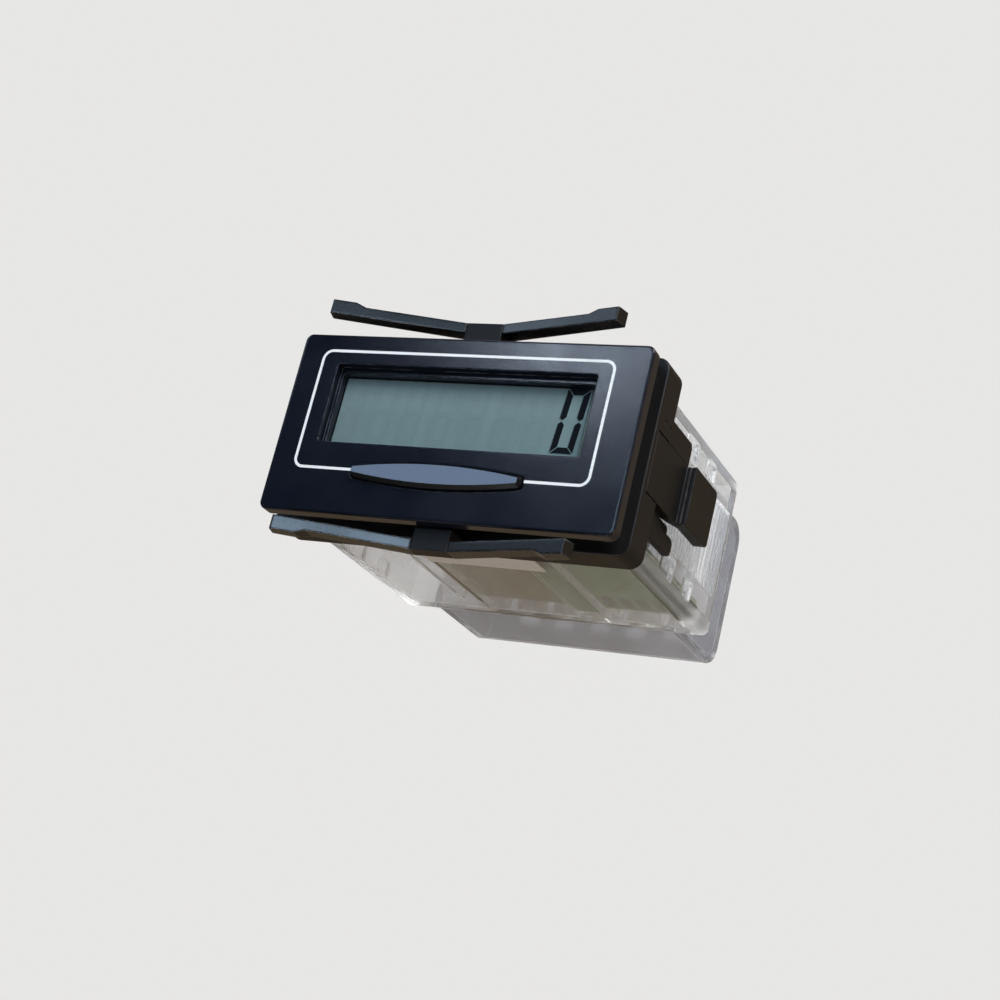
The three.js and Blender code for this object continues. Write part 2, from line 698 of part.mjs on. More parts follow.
function switchPlunger() {
  return block(plungerOutline, flangeBackY + PLUNGER_CONTACT_GAP, plungerBackY);
}

function displayBoard() {
  const outline = centred(
    2 * (INNER_HALF_WIDTH - DISPLAY_BOARD_MARGIN),
    2 * (INNER_HALF_HEIGHT - DISPLAY_BOARD_MARGIN / 2),
  );
  return alongY(roundedOutline(outline, BOARD_CORNER_RADIUS), BOARD_Y, BOARD_BACK_Y);
}

const mainBoardFrontY = BOARD_BACK_Y + BOARD_GAP;

function mainBoard() {
  const board = {
    left: MAIN_BOARD_LEFT,
    right: MAIN_BOARD_RIGHT,
    bottom: mainBoardFrontY,
    top: MAIN_BOARD_BACK,
  };
  return alongZ(roundedOutline(board, BOARD_CORNER_RADIUS), MAIN_BOARD_BOTTOM, MAIN_BOARD_TOP);
}

// A row connector in the corner between the two boards, with slots for its pins.
function boardConnector() {
  const right = MAIN_BOARD_RIGHT - CONNECTOR_SIDE_ROOM;
  const body = {
    left: right - CONNECTOR_WIDTH,
    right,
    bottom: MAIN_BOARD_TOP,
    top: MAIN_BOARD_TOP + CONNECTOR_HEIGHT,
  };
  const back = BOARD_BACK_Y + CONNECTOR_DEPTH;
  const pitch = CONNECTOR_WIDTH / CONNECTOR_SLOTS;
  const slots = Array.from({ length: CONNECTOR_SLOTS }, (_, i) => {
    const slot = centred(CONNECTOR_SLOT_WIDTH, 2 * CONNECTOR_HEIGHT, body.left + (i + 0.5) * pitch, body.top);
    return block(slot, back - CONNECTOR_SLOT_DEPTH, back + OVERRUN);
  });
  return cut(block(body, BOARD_BACK_Y, back), ...slots);
}

// The chip and the crystal lie on the display board, one on each side of the cell.
function counterChip() {
  const left = CELL_RADIUS + CHIP_CELL_GAP;
  const bottom = MAIN_BOARD_TOP + CONNECTOR_HEIGHT + CHIP_CONNECTOR_GAP;
  const right = left + CHIP_SIZE;
  const top = bottom + CHIP_SIZE;
  const outline = polygon([
    [left, bottom],
    [right, bottom],
    [right, top],
    [left + CHIP_CHAMFER, top],
    [left, top - CHIP_CHAMFER],
  ]);
  return alongY(outline, BOARD_BACK_Y, BOARD_BACK_Y + CHIP_THICKNESS);
}

function crystal() {
  const centreX = -CELL_RADIUS - CRYSTAL_CELL_GAP - CRYSTAL_LENGTH / 2;
  const can = centred(CRYSTAL_LENGTH, CRYSTAL_WIDTH, centreX, CRYSTAL_CENTRE_Z);
  const radius = (CRYSTAL_WIDTH - CRYSTAL_END_FLAT) / 2;
  return alongY(roundedOutline(can, radius), BOARD_BACK_Y, BOARD_BACK_Y + CRYSTAL_HEIGHT);
}

// A can capacitor: a base, a pressed groove and a flat top, standing on the main board.
function capacitor() {
  const neck = CAPACITOR_RADIUS - CAPACITOR_GROOVE_DEPTH;
  return turned(
    [
      [0, 0],
      [CAPACITOR_RADIUS, 0],
      [CAPACITOR_RADIUS, CAPACITOR_BASE_HEIGHT],
      [neck, (CAPACITOR_BASE_HEIGHT + CAPACITOR_GROOVE_HEIGHT) / 2],
      [CAPACITOR_RADIUS, CAPACITOR_GROOVE_HEIGHT],
      [CAPACITOR_RADIUS, CAPACITOR_HEIGHT - CAPACITOR_GROOVE_DEPTH],
      [neck, CAPACITOR_HEIGHT],
      [0, CAPACITOR_HEIGHT],
    ],
    SCREW_STEPS,
  );
}

// The cell lies along y on the main board, its cap to the back, short of the terminal plates' legs.
const cellFrontY = mainBoardFrontY + TAB_THICKNESS + BOARD_GAP;
const legFrontY = MAIN_BOARD_BACK - LEG_OVERLAP;
const cellBackY = legFrontY - CELL_LEG_GAP - TAB_THICKNESS;

function lithiumCell() {
  const length = cellBackY - cellFrontY;
  const canLength = length - CELL_CAP_RISE;
  return turned(
    [
      [0, 0],
      [CELL_RADIUS - CELL_EDGE, 0],
      [CELL_RADIUS, CELL_EDGE],
      [CELL_RADIUS, canLength - CELL_EDGE],
      [CELL_RADIUS - CELL_EDGE, canLength],
      [CELL_CAP_RADIUS, canLength],
      [CELL_CAP_RADIUS, length],
      [0, length],
    ],
    ROUND_STEPS,
  );
}

// A nickel strip that stands on the board against an end of the cell.
function cellTab(front) {
  const strip = centred(TAB_WIDTH, 2 * CELL_CAP_RADIUS, 0, MAIN_BOARD_TOP + CELL_RADIUS);
  strip.bottom = MAIN_BOARD_TOP;
  return block(strip, front, front + TAB_THICKNESS);
}

// One long comb of saw teeth, which cuts the ratchet into a side of the housing between its pockets.
function ratchetCutter(side) {
  const halfHeight = POCKET_TOP - FRONT_POCKET_HEIGHT - RATCHET_POCKET_GAP;
  const outside = side * (HOUSING_WIDTH / 2 + OVERRUN);
  const crest = side * CREST_X;
  const valley = side * (CREST_X - RATCHET_DEPTH);
  const points = [
    [outside, RATCHET_START],
    [crest, RATCHET_START],
  ];
  for (let tooth = 1; tooth <= RATCHET_TEETH; tooth += 1) {
    const y = RATCHET_START + tooth * RATCHET_PITCH;
    points.push([valley, y], [crest, y]);
  }
  points.push([outside, RATCHET_START + RATCHET_TEETH * RATCHET_PITCH]);
  return alongZ(polygon(points), -halfHeight, halfHeight);
}

function sidePocket(side, upDown, start, length, height) {
  const pocket = between([start, start + length], [upDown * POCKET_TOP, upDown * (POCKET_TOP - height)]);
  const outline = roundedOutline(pocket, POCKET_CORNER_RADIUS);
  const walls = [side * (HOUSING_WIDTH / 2 - POCKET_DEPTH), side * (HOUSING_WIDTH / 2 + OVERRUN)];
  return alongX(outline, Math.min(...walls), Math.max(...walls));
}

const terminalPlaces = Array.from(
  { length: TERMINAL_COUNT },
  (_, i) => (i - (TERMINAL_COUNT - 1) / 2) * TERMINAL_PITCH,
);

// The leg of a terminal plate lies on the main board, a little to the right of its terminal.
function plateLeg(x) {
  return centred(LEG_WIDTH, PLATE_THICKNESS, x + LEG_OFFSET, MAIN_BOARD_TOP + PLATE_THICKNESS / 2);
}

// A rib along the housing's floor.
function rail(left, right, top, back) {
  const floor = { left, right, bottom: -INNER_HALF_HEIGHT - HOUSING_WALL / 2, top };
  return block(floor, mainBoardFrontY, back);
}

// Ribs in the housing's corners, which the display board rests on.
function shoulder(side, upDown) {
  const sunk = HOUSING_WALL / 2;
  const corner = between(
    [side * (INNER_HALF_WIDTH - SHOULDER_WIDTH), side * (INNER_HALF_WIDTH + sunk)],
    [upDown * (INNER_HALF_HEIGHT - SHOULDER_HEIGHT), upDown * (INNER_HALF_HEIGHT + sunk)],
  );
  return block(corner, BOARD_BACK_Y, BOARD_BACK_Y + SHOULDER_LENGTH);
}

function rearHousing() {
  const outside = roundedOutline(centred(HOUSING_WIDTH, HOUSING_HEIGHT), HOUSING_CORNER_RADIUS);
  const inside = roundedOutline(centred(2 * INNER_HALF_WIDTH, 2 * INNER_HALF_HEIGHT), HOUSING_INNER_RADIUS);
  const shell = cut(
    alongY(outside, 0, HOUSING_LENGTH),
    alongY(inside, -OVERRUN, HOUSING_LENGTH - HOUSING_WALL),
  );
  const guideRight = MAIN_BOARD_LEFT - GUIDE_GAP;
  const wideHalf = WIDE_RAIL_WIDTH / 2;
  const thinHalf = THIN_RAIL_WIDTH / 2;
  const wallMiddleX = INNER_HALF_WIDTH + HOUSING_WALL / 2;
  const wallMiddleY = HOUSING_LENGTH - HOUSING_WALL / 2;
  const guideTop = GUIDE_HEIGHT - INNER_HALF_HEIGHT;
  const rails = [
    rail(WIDE_RAIL_X - wideHalf, WIDE_RAIL_X + wideHalf, MAIN_BOARD_BOTTOM - WIDE_RAIL_GAP, wallMiddleY),
    rail(THIN_RAIL_X - thinHalf, THIN_RAIL_X + thinHalf, MAIN_BOARD_BOTTOM, wallMiddleY),
    rail(MAIN_BOARD_RIGHT - GUIDE_WIDTH, wallMiddleX, MAIN_BOARD_BOTTOM, wallMiddleY),
    rail(guideRight - GUIDE_WIDTH, guideRight, guideTop, legFrontY - BOARD_GAP),
  ];
  const shoulders = SIDES.flatMap((side) => SIDES.map((upDown) => shoulder(side, upDown)));
  const pockets = SIDES.flatMap((side) =>
    SIDES.flatMap((upDown) => [
      sidePocket(side, upDown, FRONT_POCKET_START, FRONT_POCKET_LENGTH, FRONT_POCKET_HEIGHT),
      sidePocket(side, upDown, REAR_POCKET_START, REAR_POCKET_LENGTH, REAR_POCKET_HEIGHT),
    ]),
  );
  const legSlots = terminalPlaces.map((x) => {
    const front = HOUSING_LENGTH - HOUSING_WALL - OVERRUN;
    return block(grown(plateLeg(x), LEG_CLEARANCE), front, HOUSING_LENGTH + OVERRUN);
  });
  const slots = latchPlaces.map(([side, x]) => latchSlot(side, x));
  return cut(
    join(shell, ...rails, ...shoulders),
    ...SIDES.map((side) => ratchetCutter(side)),
    ...pockets,
    ...legSlots,
    ...slots,
  );
}

// Screw bores run from the bays into the block.
function screwBore(x, front, back, radius) {
  const bore = new THREE.CylinderGeometry(radius, radius, back - front, SCREW_STEPS);
  bore.translate(x, (front + back) / 2, SCREW_Z);
  return solid(bore);
}

function terminalBlock() {
  const halfSpan = (TERMINAL_COUNT * TERMINAL_PITCH) / 2 + PARTITION_THICKNESS / 2;
  const body = {
    left: -halfSpan,
    right: halfSpan,
    bottom: MAIN_BOARD_TOP + PLATE_THICKNESS + BLOCK_LEG_GAP,
    top: COVER_HEIGHT / 2 - COVER_WALL - BLOCK_TOP_GAP,
  };
  const wallBack = COVER_BACK_Y - COVER_WALL - PARTITION_BACK_GAP;
  const walls = Array.from({ length: TERMINAL_COUNT + 1 }, (_, i) => {
    const x = (i - TERMINAL_COUNT / 2) * TERMINAL_PITCH;
    const wall = { ...body, left: x - PARTITION_THICKNESS / 2, right: x + PARTITION_THICKNESS / 2 };
    return block(wall, PLATE_Y - OVERRUN, wallBack);
  });
  const boreFront = PLATE_Y + PLATE_THICKNESS - SCREW_LENGTH - BORE_RUNOUT;
  const radius = SCREW_RADIUS + SCREW_CLEARANCE;
  const bores = terminalPlaces.map((x) => screwBore(x, boreFront, PLATE_Y + OVERRUN, radius));
  return cut(join(block(body, HOUSING_LENGTH, PLATE_Y), ...walls), ...bores);
}

// A bent plate: a leg through the housing to the main board, an upright in its bay.
function terminalPlate(x) {
  const width = BAY_WIDTH - 2 * PLATE_SIDE_GAP;
  const upright = centred(width, PLATE_TOP - MAIN_BOARD_TOP, x, (PLATE_TOP + MAIN_BOARD_TOP) / 2);
  const back = PLATE_Y + PLATE_THICKNESS;
  const hole = screwBore(x, PLATE_Y - OVERRUN, back + OVERRUN, SCREW_RADIUS + SCREW_CLEARANCE);
  return cut(join(block(upright, PLATE_Y, back), block(plateLeg(x), legFrontY, back)), hole);
}

// A pan-head screw along y: shank to the front, crossed head to the back.
function terminalScrew() {
  const headRadius = BAY_WIDTH / 2 - HEAD_SIDE_GAP;
  const body = turned(
    [
      [0, -SCREW_LENGTH],
      [SCREW_RADIUS - HEAD_EDGE, -SCREW_LENGTH],
      [SCREW_RADIUS, HEAD_EDGE - SCREW_LENGTH],
      [SCREW_RADIUS, 0],
      [headRadius, 0],
      [headRadius, HEAD_HEIGHT - HEAD_EDGE],
      [headRadius - HEAD_EDGE, HEAD_HEIGHT],
      [0, HEAD_HEIGHT],
    ],
    SCREW_STEPS,
  );
  const front = HEAD_HEIGHT - CROSS_DEPTH;
  return cut(
    body,
    block(centred(CROSS_SPAN, CROSS_WIDTH), front, HEAD_HEIGHT + OVERRUN),
    block(centred(CROSS_WIDTH, CROSS_SPAN), front, HEAD_HEIGHT + OVERRUN),
  );
}

// Side view of the cover: square at the front, its two rear corners bent round.
function coverProfile(front, back, halfHeight, radius) {
  const quarter = Math.PI / 2;
  const shape = new THREE.Shape();
  shape.moveTo(front, -halfHeight);
  shape.lineTo(back - radius, -halfHeight);
  shape.absarc(back - radius, radius - halfHeight, radius, -quarter, 0);
  shape.lineTo(back, halfHeight - radius);
  shape.absarc(back - radius, halfHeight - radius, radius, 0, quarter);
  shape.lineTo(front, halfHeight);
  return shape;
}

function terminalCover() {
  const outer = coverProfile(HOUSING_LENGTH - OVERRUN, COVER_BACK_Y, COVER_HEIGHT / 2, COVER_BEND_RADIUS);
  const inner = coverProfile(
    HOUSING_LENGTH - 2 * OVERRUN,
    COVER_BACK_Y - COVER_WALL,
    COVER_HEIGHT / 2 - COVER_WALL,
    COVER_BEND_RADIUS - COVER_WALL,
  );
  const halfWidth = COVER_WIDTH / 2;
  const front = block(centred(2 * COVER_WIDTH, 2 * COVER_HEIGHT), -OVERRUN, HOUSING_LENGTH);
  const driverHoles = terminalPlaces.map((x) =>
    screwBore(x, COVER_BACK_Y - COVER_WALL - OVERRUN, COVER_BACK_Y + OVERRUN, DRIVER_HOLE_RADIUS),
  );
  const entries = terminalPlaces.map((x) => {
    const outline = roundedOutline(centred(ENTRY_SIZE, ENTRY_SIZE, x, ENTRY_Z), ENTRY_CORNER_RADIUS);
    return alongY(outline, COVER_BACK_Y - COVER_WALL - OVERRUN, COVER_BACK_Y + OVERRUN);
  });
  return cut(
    alongX(outer, -halfWidth, halfWidth, COVER_EDGE_RADIUS),
    front,
    alongX(inner, COVER_WALL - halfWidth, halfWidth - COVER_WALL),
    ...driverHoles,
    ...entries,
  );
}

function panelGasket() {
  const inner = grown(centred(HOUSING_WIDTH, HOUSING_HEIGHT), GASKET_CLEARANCE);
  const hole = roundedOutline(inner, HOUSING_CORNER_RADIUS + GASKET_CLEARANCE);
  const rim = roundedOutline(grown(inner, GASKET_BORDER), HOUSING_CORNER_RADIUS + GASKET_BORDER);
  return cut(alongY(rim, 0, GASKET_THICKNESS), alongY(hole, -OVERRUN, GASKET_THICKNESS + OVERRUN));
}

function ratingLabel() {
  const bottom = -HOUSING_HEIGHT / 2;
  const sheet = { left: LABEL_LEFT, right: LABEL_RIGHT, bottom: bottom - LABEL_THICKNESS, top: bottom };
  return block(sheet, LABEL_FRONT, LABEL_BACK);
}

// The bridge stands out from the clip's top or bottom wall and slopes back down to it.
function bridge(upDown) {
  const wallMiddle = (CLIP_HEIGHT - CLIP_TOP_WALL) / 2;
  const inner = BEZEL_HEIGHT / 2 + BRIDGE_BEZEL_GAP;
  const outline = polygon([
    [BRIDGE_FRONT, upDown * inner],
    [BRIDGE_FRONT, upDown * ARM_OUTER],
    [BRIDGE_BACK, upDown * ARM_OUTER],
    [BRIDGE_RAMP_BACK, (upDown * CLIP_HEIGHT) / 2],
    [BRIDGE_RAMP_BACK, upDown * wallMiddle],
    [CLIP_FRONT + CLIP_EDGE_RADIUS, upDown * wallMiddle],
    [CLIP_FRONT + CLIP_EDGE_RADIUS, upDown * inner],
  ]);
  return alongX(outline, -BRIDGE_WIDTH / 2, BRIDGE_WIDTH / 2);
}

function tonguePlate(side, outline, thickness) {
  const inner = HOUSING_WIDTH / 2 + TONGUE_HOUSING_GAP;
  const faces = [side * inner, side * (inner + thickness)];
  return alongX(outline, Math.min(...faces), Math.max(...faces));
}

// The thin tongue, with a thinner web that closes the gap between it and the lever.
function thinTongue(side) {
  const webZ = LEVER_HEIGHT / 2 + LEVER_OFFSET + LEVER_SLIT;
  const rootZ = webZ + TONGUE_ROOT_GAP;
  const innerZ = webZ + TONGUE_LEVER_GAP;
  const outerZ = innerZ + TONGUE_WIDTH;
  const outline = polygon([
    [CLIP_BACK - OVERRUN, -side * rootZ],
    [TONGUE_ROOT_BACK, -side * rootZ],
    [TONGUE_FILLET_BACK, -side * innerZ],
    [TONGUE_BACK - TONGUE_CHAMFER, -side * innerZ],
    [TONGUE_BACK, -side * (innerZ + TONGUE_CHAMFER)],
    [TONGUE_BACK, -side * (outerZ - TONGUE_CHAMFER)],
    [TONGUE_BACK - TONGUE_CHAMFER, -side * outerZ],
    [CLIP_BACK - OVERRUN, -side * outerZ],
  ]);
  const web = between([CLIP_BACK - OVERRUN, WEB_BACK], [-side * webZ, -side * outerZ]);
  return join(
    tonguePlate(side, outline, TONGUE_THICKNESS),
    tonguePlate(side, roundedOutline(web, TONGUE_CHAMFER), WEB_THICKNESS),
  );
}

function thickTongue(side) {
  const innerZ = LEVER_HEIGHT / 2 - LEVER_OFFSET + LEVER_SLIT;
  const outerZ = innerZ + THICK_TONGUE_WIDTH;
  const outline = polygon([
    [CLIP_BACK - OVERRUN, side * innerZ],
    [THICK_TONGUE_BACK, side * innerZ],
    [THICK_TONGUE_BACK, side * (outerZ - TONGUE_CHAMFER)],
    [THICK_TONGUE_BACK - TONGUE_CHAMFER, side * outerZ],
    [CLIP_BACK - OVERRUN, side * outerZ],
  ]);
  return tonguePlate(side, outline, THICK_TONGUE_THICKNESS);
}

// A notch in the front edge of the top or bottom wall, just outside a spring arm's pad.
function armNotch(side) {
  const outer = CLIP_WIDTH / 2 - NOTCH_SIDE_ROOM;
  const notch = between(
    [side * (outer - NOTCH_WIDTH), side * outer],
    [side * (CLIP_HEIGHT / 2 - NOTCH_HEIGHT), side * (CLIP_HEIGHT / 2 + OVERRUN)],
  );
  return block(notch, CLIP_FRONT - OVERRUN, CLIP_FRONT + NOTCH_DEPTH);
}

// A fine slit in the frame's side between the lever and the corner, from a small round hole.
function reliefSlit(side) {
  const skin = [side * (CLIP_WIDTH / 2 - RELIEF_DEPTH), side * (CLIP_WIDTH / 2 + OVERRUN)];
  const hole = new THREE.Shape();
  hole.absarc(CLIP_FRONT + RELIEF_END_BACK, side * RELIEF_HEIGHT, RELIEF_END_RADIUS, 0, 2 * Math.PI);
  const slit = between(skin, [
    side * RELIEF_HEIGHT - RELIEF_WIDTH / 2,
    side * RELIEF_HEIGHT + RELIEF_WIDTH / 2,
  ]);
  return join(
    alongX(hole, Math.min(...skin), Math.max(...skin)),
    block(slit, CLIP_FRONT + RELIEF_END_BACK, CLIP_BACK + OVERRUN),
  );
}

function leverSlot(side) {
  const halfHeight = LEVER_HEIGHT / 2 + LEVER_SLIT;
  const centreZ = -side * LEVER_OFFSET;
  const slot = between(
    [side * (HOUSING_WIDTH / 2 - OVERRUN), side * (CLIP_WIDTH / 2 + OVERRUN)],
    [centreZ - halfHeight, centreZ + halfHeight],
  );
  return block(slot, LEVER_ROOT_Y, CLIP_BACK + OVERRUN);
}

function mountingClip() {
  const outside = roundedOutline(centred(CLIP_WIDTH, CLIP_HEIGHT), CLIP_CORNER_RADIUS);
  const opening = grown(centred(HOUSING_WIDTH, HOUSING_HEIGHT), CLIP_CLEARANCE);
  const inside = roundedOutline(opening, CLIP_INNER_RADIUS);
  const frame = cut(
    alongY(outside, CLIP_FRONT, CLIP_BACK, CLIP_EDGE_RADIUS),
    alongY(inside, CLIP_FRONT - OVERRUN, CLIP_BACK + OVERRUN),
    ...SIDES.map((side) => leverSlot(side)),
    ...SIDES.map((side) => armNotch(side)),
    ...SIDES.map((side) => reliefSlit(side)),
  );
  return join(
    frame,
    ...SIDES.map((upDown) => bridge(upDown)),
    ...SIDES.map((side) => thinTongue(side)),
    ...SIDES.map((side) => thickTongue(side)),
  );
}

// A spring arm: its end is square to its slanting front, with a raised pad on the outside of the tip.
function springArm(side, upDown) {
  const root = new THREE.Vector2(BRIDGE_WIDTH / 2 + ARM_ROOT_GAP, BRIDGE_FRONT);
  const tipFront = new THREE.Vector2(ARM_TIP_X, ARM_TIP_Y);
  const along = tipFront.clone().sub(root).normalize();
  const across = new THREE.Vector2(-along.y, along.x);
  const tipBack = tipFront.clone().addScaledVector(across, ARM_TIP_THICKNESS);
  const onPlan = (corner, outward, backward) => {
    const point = corner.clone().addScaledVector(along, outward).addScaledVector(across, backward);
    return [side * point.x, point.y];
  };
  const plan = new THREE.Shape();
  plan.moveTo(side * root.x, root.y);
  plan.lineTo(...onPlan(tipFront, -ARM_TIP_RADIUS, 0));
  plan.quadraticCurveTo(...onPlan(tipFront, 0, 0), ...onPlan(tipFront, 0, ARM_TIP_RADIUS));
  plan.lineTo(...onPlan(tipBack, 0, -ARM_TIP_RADIUS));
  plan.quadraticCurveTo(...onPlan(tipBack, 0, 0), ...onPlan(tipBack, -ARM_TIP_RADIUS, 0));
  plan.lineTo(side * root.x, root.y + ARM_ROOT_THICKNESS);
  const end = ARM_TIP_X + ARM_TIP_THICKNESS;
  const padOuter = ARM_OUTER + ARM_PAD_RISE;
  const padStart = ARM_TIP_X - ARM_PAD_LENGTH;
  const elevation = polygon([
    [side * (root.x - OVERRUN), upDown * ARM_INNER],
    [side * end, upDown * ARM_INNER],
    [side * end, upDown * padOuter],
    [side * padStart, upDown * padOuter],
    [side * (padStart - ARM_PAD_RAMP_LENGTH), upDown * ARM_OUTER],
    [side * (root.x - OVERRUN), upDown * ARM_OUTER],
  ]);
  const heights = [upDown * (ARM_INNER - OVERRUN), upDown * (padOuter + OVERRUN)];
  const bar = alongZ(plan, Math.min(...heights), Math.max(...heights));
  return bar.intersect(alongY(elevation, ARM_TIP_Y - OVERRUN, BRIDGE_FRONT + ARM_ROOT_THICKNESS + OVERRUN));
}

// A release lever: a bar along the housing, pawl teeth on its inside, a finger tab at its end.
function releaseLever(side) {
  const outer = CLIP_WIDTH / 2;
  const fingerOuter = outer + FINGER_RISE;
  const fingerInner = fingerOuter - FINGER_THICKNESS;
  const grooveX = (outer + fingerOuter) / 2;
  const plan = polygon([
    [side * LEVER_INNER_X, LEVER_ROOT_Y + LEVER_ROOT_GAP],
    [side * outer, LEVER_ROOT_Y + LEVER_ROOT_GAP],
    [side * outer, FINGER_FRONT],
    [side * (grooveX - FINGER_GROOVE / 2), FINGER_FRONT],
    [side * grooveX, FINGER_FRONT + FINGER_GROOVE],
    [side * (grooveX + FINGER_GROOVE / 2), FINGER_FRONT],
    [side * fingerOuter, FINGER_FRONT],
    [side * fingerOuter, FINGER_BACK],
    [side * fingerInner, FINGER_BACK],
    [side * fingerInner, FINGER_RAMP_BACK],
    [side * LEVER_INNER_X, LEVER_BEND_Y],
  ]);
  const centreZ = -side * LEVER_OFFSET;
  const profile = {
    left: LEVER_ROOT_Y - FINGER_CORNER_RADIUS,
    right: FINGER_BACK,
    bottom: centreZ - LEVER_HEIGHT / 2,
    top: centreZ + LEVER_HEIGHT / 2,
  };
  const bar = alongZ(plan, profile.bottom, profile.top);
  const walls = [side * (LEVER_INNER_X - OVERRUN), side * (fingerOuter + OVERRUN)];
  const rounded = roundedOutline(profile, FINGER_CORNER_RADIUS);
  const shaped = bar.intersect(alongX(rounded, Math.min(...walls), Math.max(...walls)));
  return join(shaped, pawl(side));
}

// Pawl teeth in step with the ratchet, their tips just clear of its crests.
function pawl(side) {
  const tip = side * (CREST_X + PAWL_CLEARANCE);
  const base = side * LEVER_INNER_X;
  const firstTooth = Math.ceil((LEVER_BEND_Y - RATCHET_START) / RATCHET_PITCH) - PAWL_TEETH;
  const start = RATCHET_START + firstTooth * RATCHET_PITCH;
  const points = [[base + side * OVERRUN, start]];
  for (let tooth = 0; tooth < PAWL_TEETH; tooth += 1) {
    const y = start + tooth * RATCHET_PITCH;
    points.push([base, y], [tip, y + RATCHET_PITCH]);
  }
  const end = start + PAWL_TEETH * RATCHET_PITCH;
  points.push([base + side * OVERRUN, end]);
  return alongZ(polygon(points), -PAWL_HEIGHT / 2, PAWL_HEIGHT / 2);
}

// Assembly.
const counter = new THREE.Group();
const clearPlastic = () => material(CLEAR, 0.3, 0, 0.45);
const clipPlastic = () => material(CLIP_BLACK, 0.45);
const displayGlass = () => material(GLASS_TINT, 0.1, 0, 0.6);

const front = new THREE.Group();
front.add(mesh("front_bezel", frontBezel(), material(BLACK, 0.5)));
front.add(mesh("panel_gasket", panelGasket(), material(GASKET_BLACK, 0.9)));
front.add(mesh("display_polariser", polariser(), material(LCD_GREEN, 0.35)));
front.add(mesh("lcd_front_glass", block(frontGlass, GLASS_Y, rearGlassY), displayGlass()));
front.add(mesh("lcd_rear_glass", block(rearGlass, rearGlassY, reflectorY), displayGlass()));
front.add(mesh("lcd_reflector", block(rearGlass, reflectorY, holderY), material(REFLECTOR_GREY, 0.6)));
front.add(mesh("lcd_holder", lcdHolder(), material(HOLDER_WHITE, 0.6)));
front.add(mesh("zebra_strip", zebraStrip(), material(CARBON_BLACK, 0.8)));
front.add(mesh("reset_switch", resetSwitch(), material(CARBON_BLACK, 0.5)));
counter.add(front);

const button = new THREE.Group();
button.add(mesh("reset_button", resetButton(), material(KEY_GREY, 0.5)));
button.add(mesh("switch_plunger", switchPlunger(), material(HOLDER_WHITE, 0.5)));
counter.add(button);

const boards = new THREE.Group();
boards.add(mesh("display_board", displayBoard(), material(BOARD_GREEN, 0.5)));
boards.add(mesh("main_board", mainBoard(), material(BOARD_GREEN, 0.5)));
boards.add(mesh("board_connector", boardConnector(), material(CARBON_BLACK, 0.6)));
boards.add(mesh("counter_chip", counterChip(), material(CARBON_BLACK, 0.6)));
boards.add(mesh("crystal", crystal(), material(STEEL, 0.3, 1)));
const capacitorX = MAIN_BOARD_RIGHT - CAPACITOR_SIDE_ROOM - CAPACITOR_RADIUS;
for (const number of [1, 2]) {
  const can = mesh(`capacitor_${number}`, capacitor(), material(STEEL, 0.35, 1));
  can.rotation.x = Math.PI / 2;
  can.position.set(capacitorX, CAPACITOR_FIRST_Y + (number - 1) * CAPACITOR_SPACING, MAIN_BOARD_TOP);
  boards.add(can);
}
const cell = mesh("lithium_cell", lithiumCell(), material(CELL_GREY, 0.4, 1));
cell.position.set(0, cellFrontY, MAIN_BOARD_TOP + CELL_RADIUS + CELL_CLEARANCE);
boards.add(cell);
boards.add(mesh("cell_tab_front", cellTab(cellFrontY - TAB_THICKNESS), material(NICKEL, 0.3, 1)));
boards.add(mesh("cell_tab_rear", cellTab(cellBackY), material(NICKEL, 0.3, 1)));
counter.add(boards);

const rear = new THREE.Group();
rear.add(mesh("rear_housing", rearHousing(), clearPlastic()));
rear.add(mesh("rating_label", ratingLabel(), material(LABEL_GREY, 0.8)));
rear.add(mesh("terminal_block", terminalBlock(), clearPlastic()));
rear.add(mesh("terminal_cover", terminalCover(), clearPlastic()));
terminalPlaces.forEach((x, i) => {
  rear.add(mesh(`terminal_plate_${i + 1}`, terminalPlate(x), material(NICKEL, 0.3, 1)));
  const screw = mesh(`terminal_screw_${i + 1}`, terminalScrew(), material(STEEL, 0.3, 1));
  screw.position.set(x, PLATE_Y + PLATE_THICKNESS + HEAD_SEAT_GAP, SCREW_Z);
  rear.add(screw);
});
counter.add(rear);

const clip = new THREE.Group();
clip.add(mesh("mounting_clip", mountingClip(), clipPlastic()));
for (const side of SIDES) {
  const end = side < 0 ? "left" : "right";
  clip.add(mesh(`spring_arm_top_${end}`, springArm(side, 1), clipPlastic()));
  clip.add(mesh(`spring_arm_bottom_${end}`, springArm(side, -1), clipPlastic()));
  clip.add(mesh(`release_lever_${end}`, releaseLever(side), clipPlastic()));
}
counter.add(clip);

export default counter;
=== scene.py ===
# Looks of a panel-mount digital counter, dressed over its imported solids.
# The script's own sizes are in millimetres and are turned into metres by MM.
import math

import bmesh
import bpy
from mathutils import Matrix, Vector


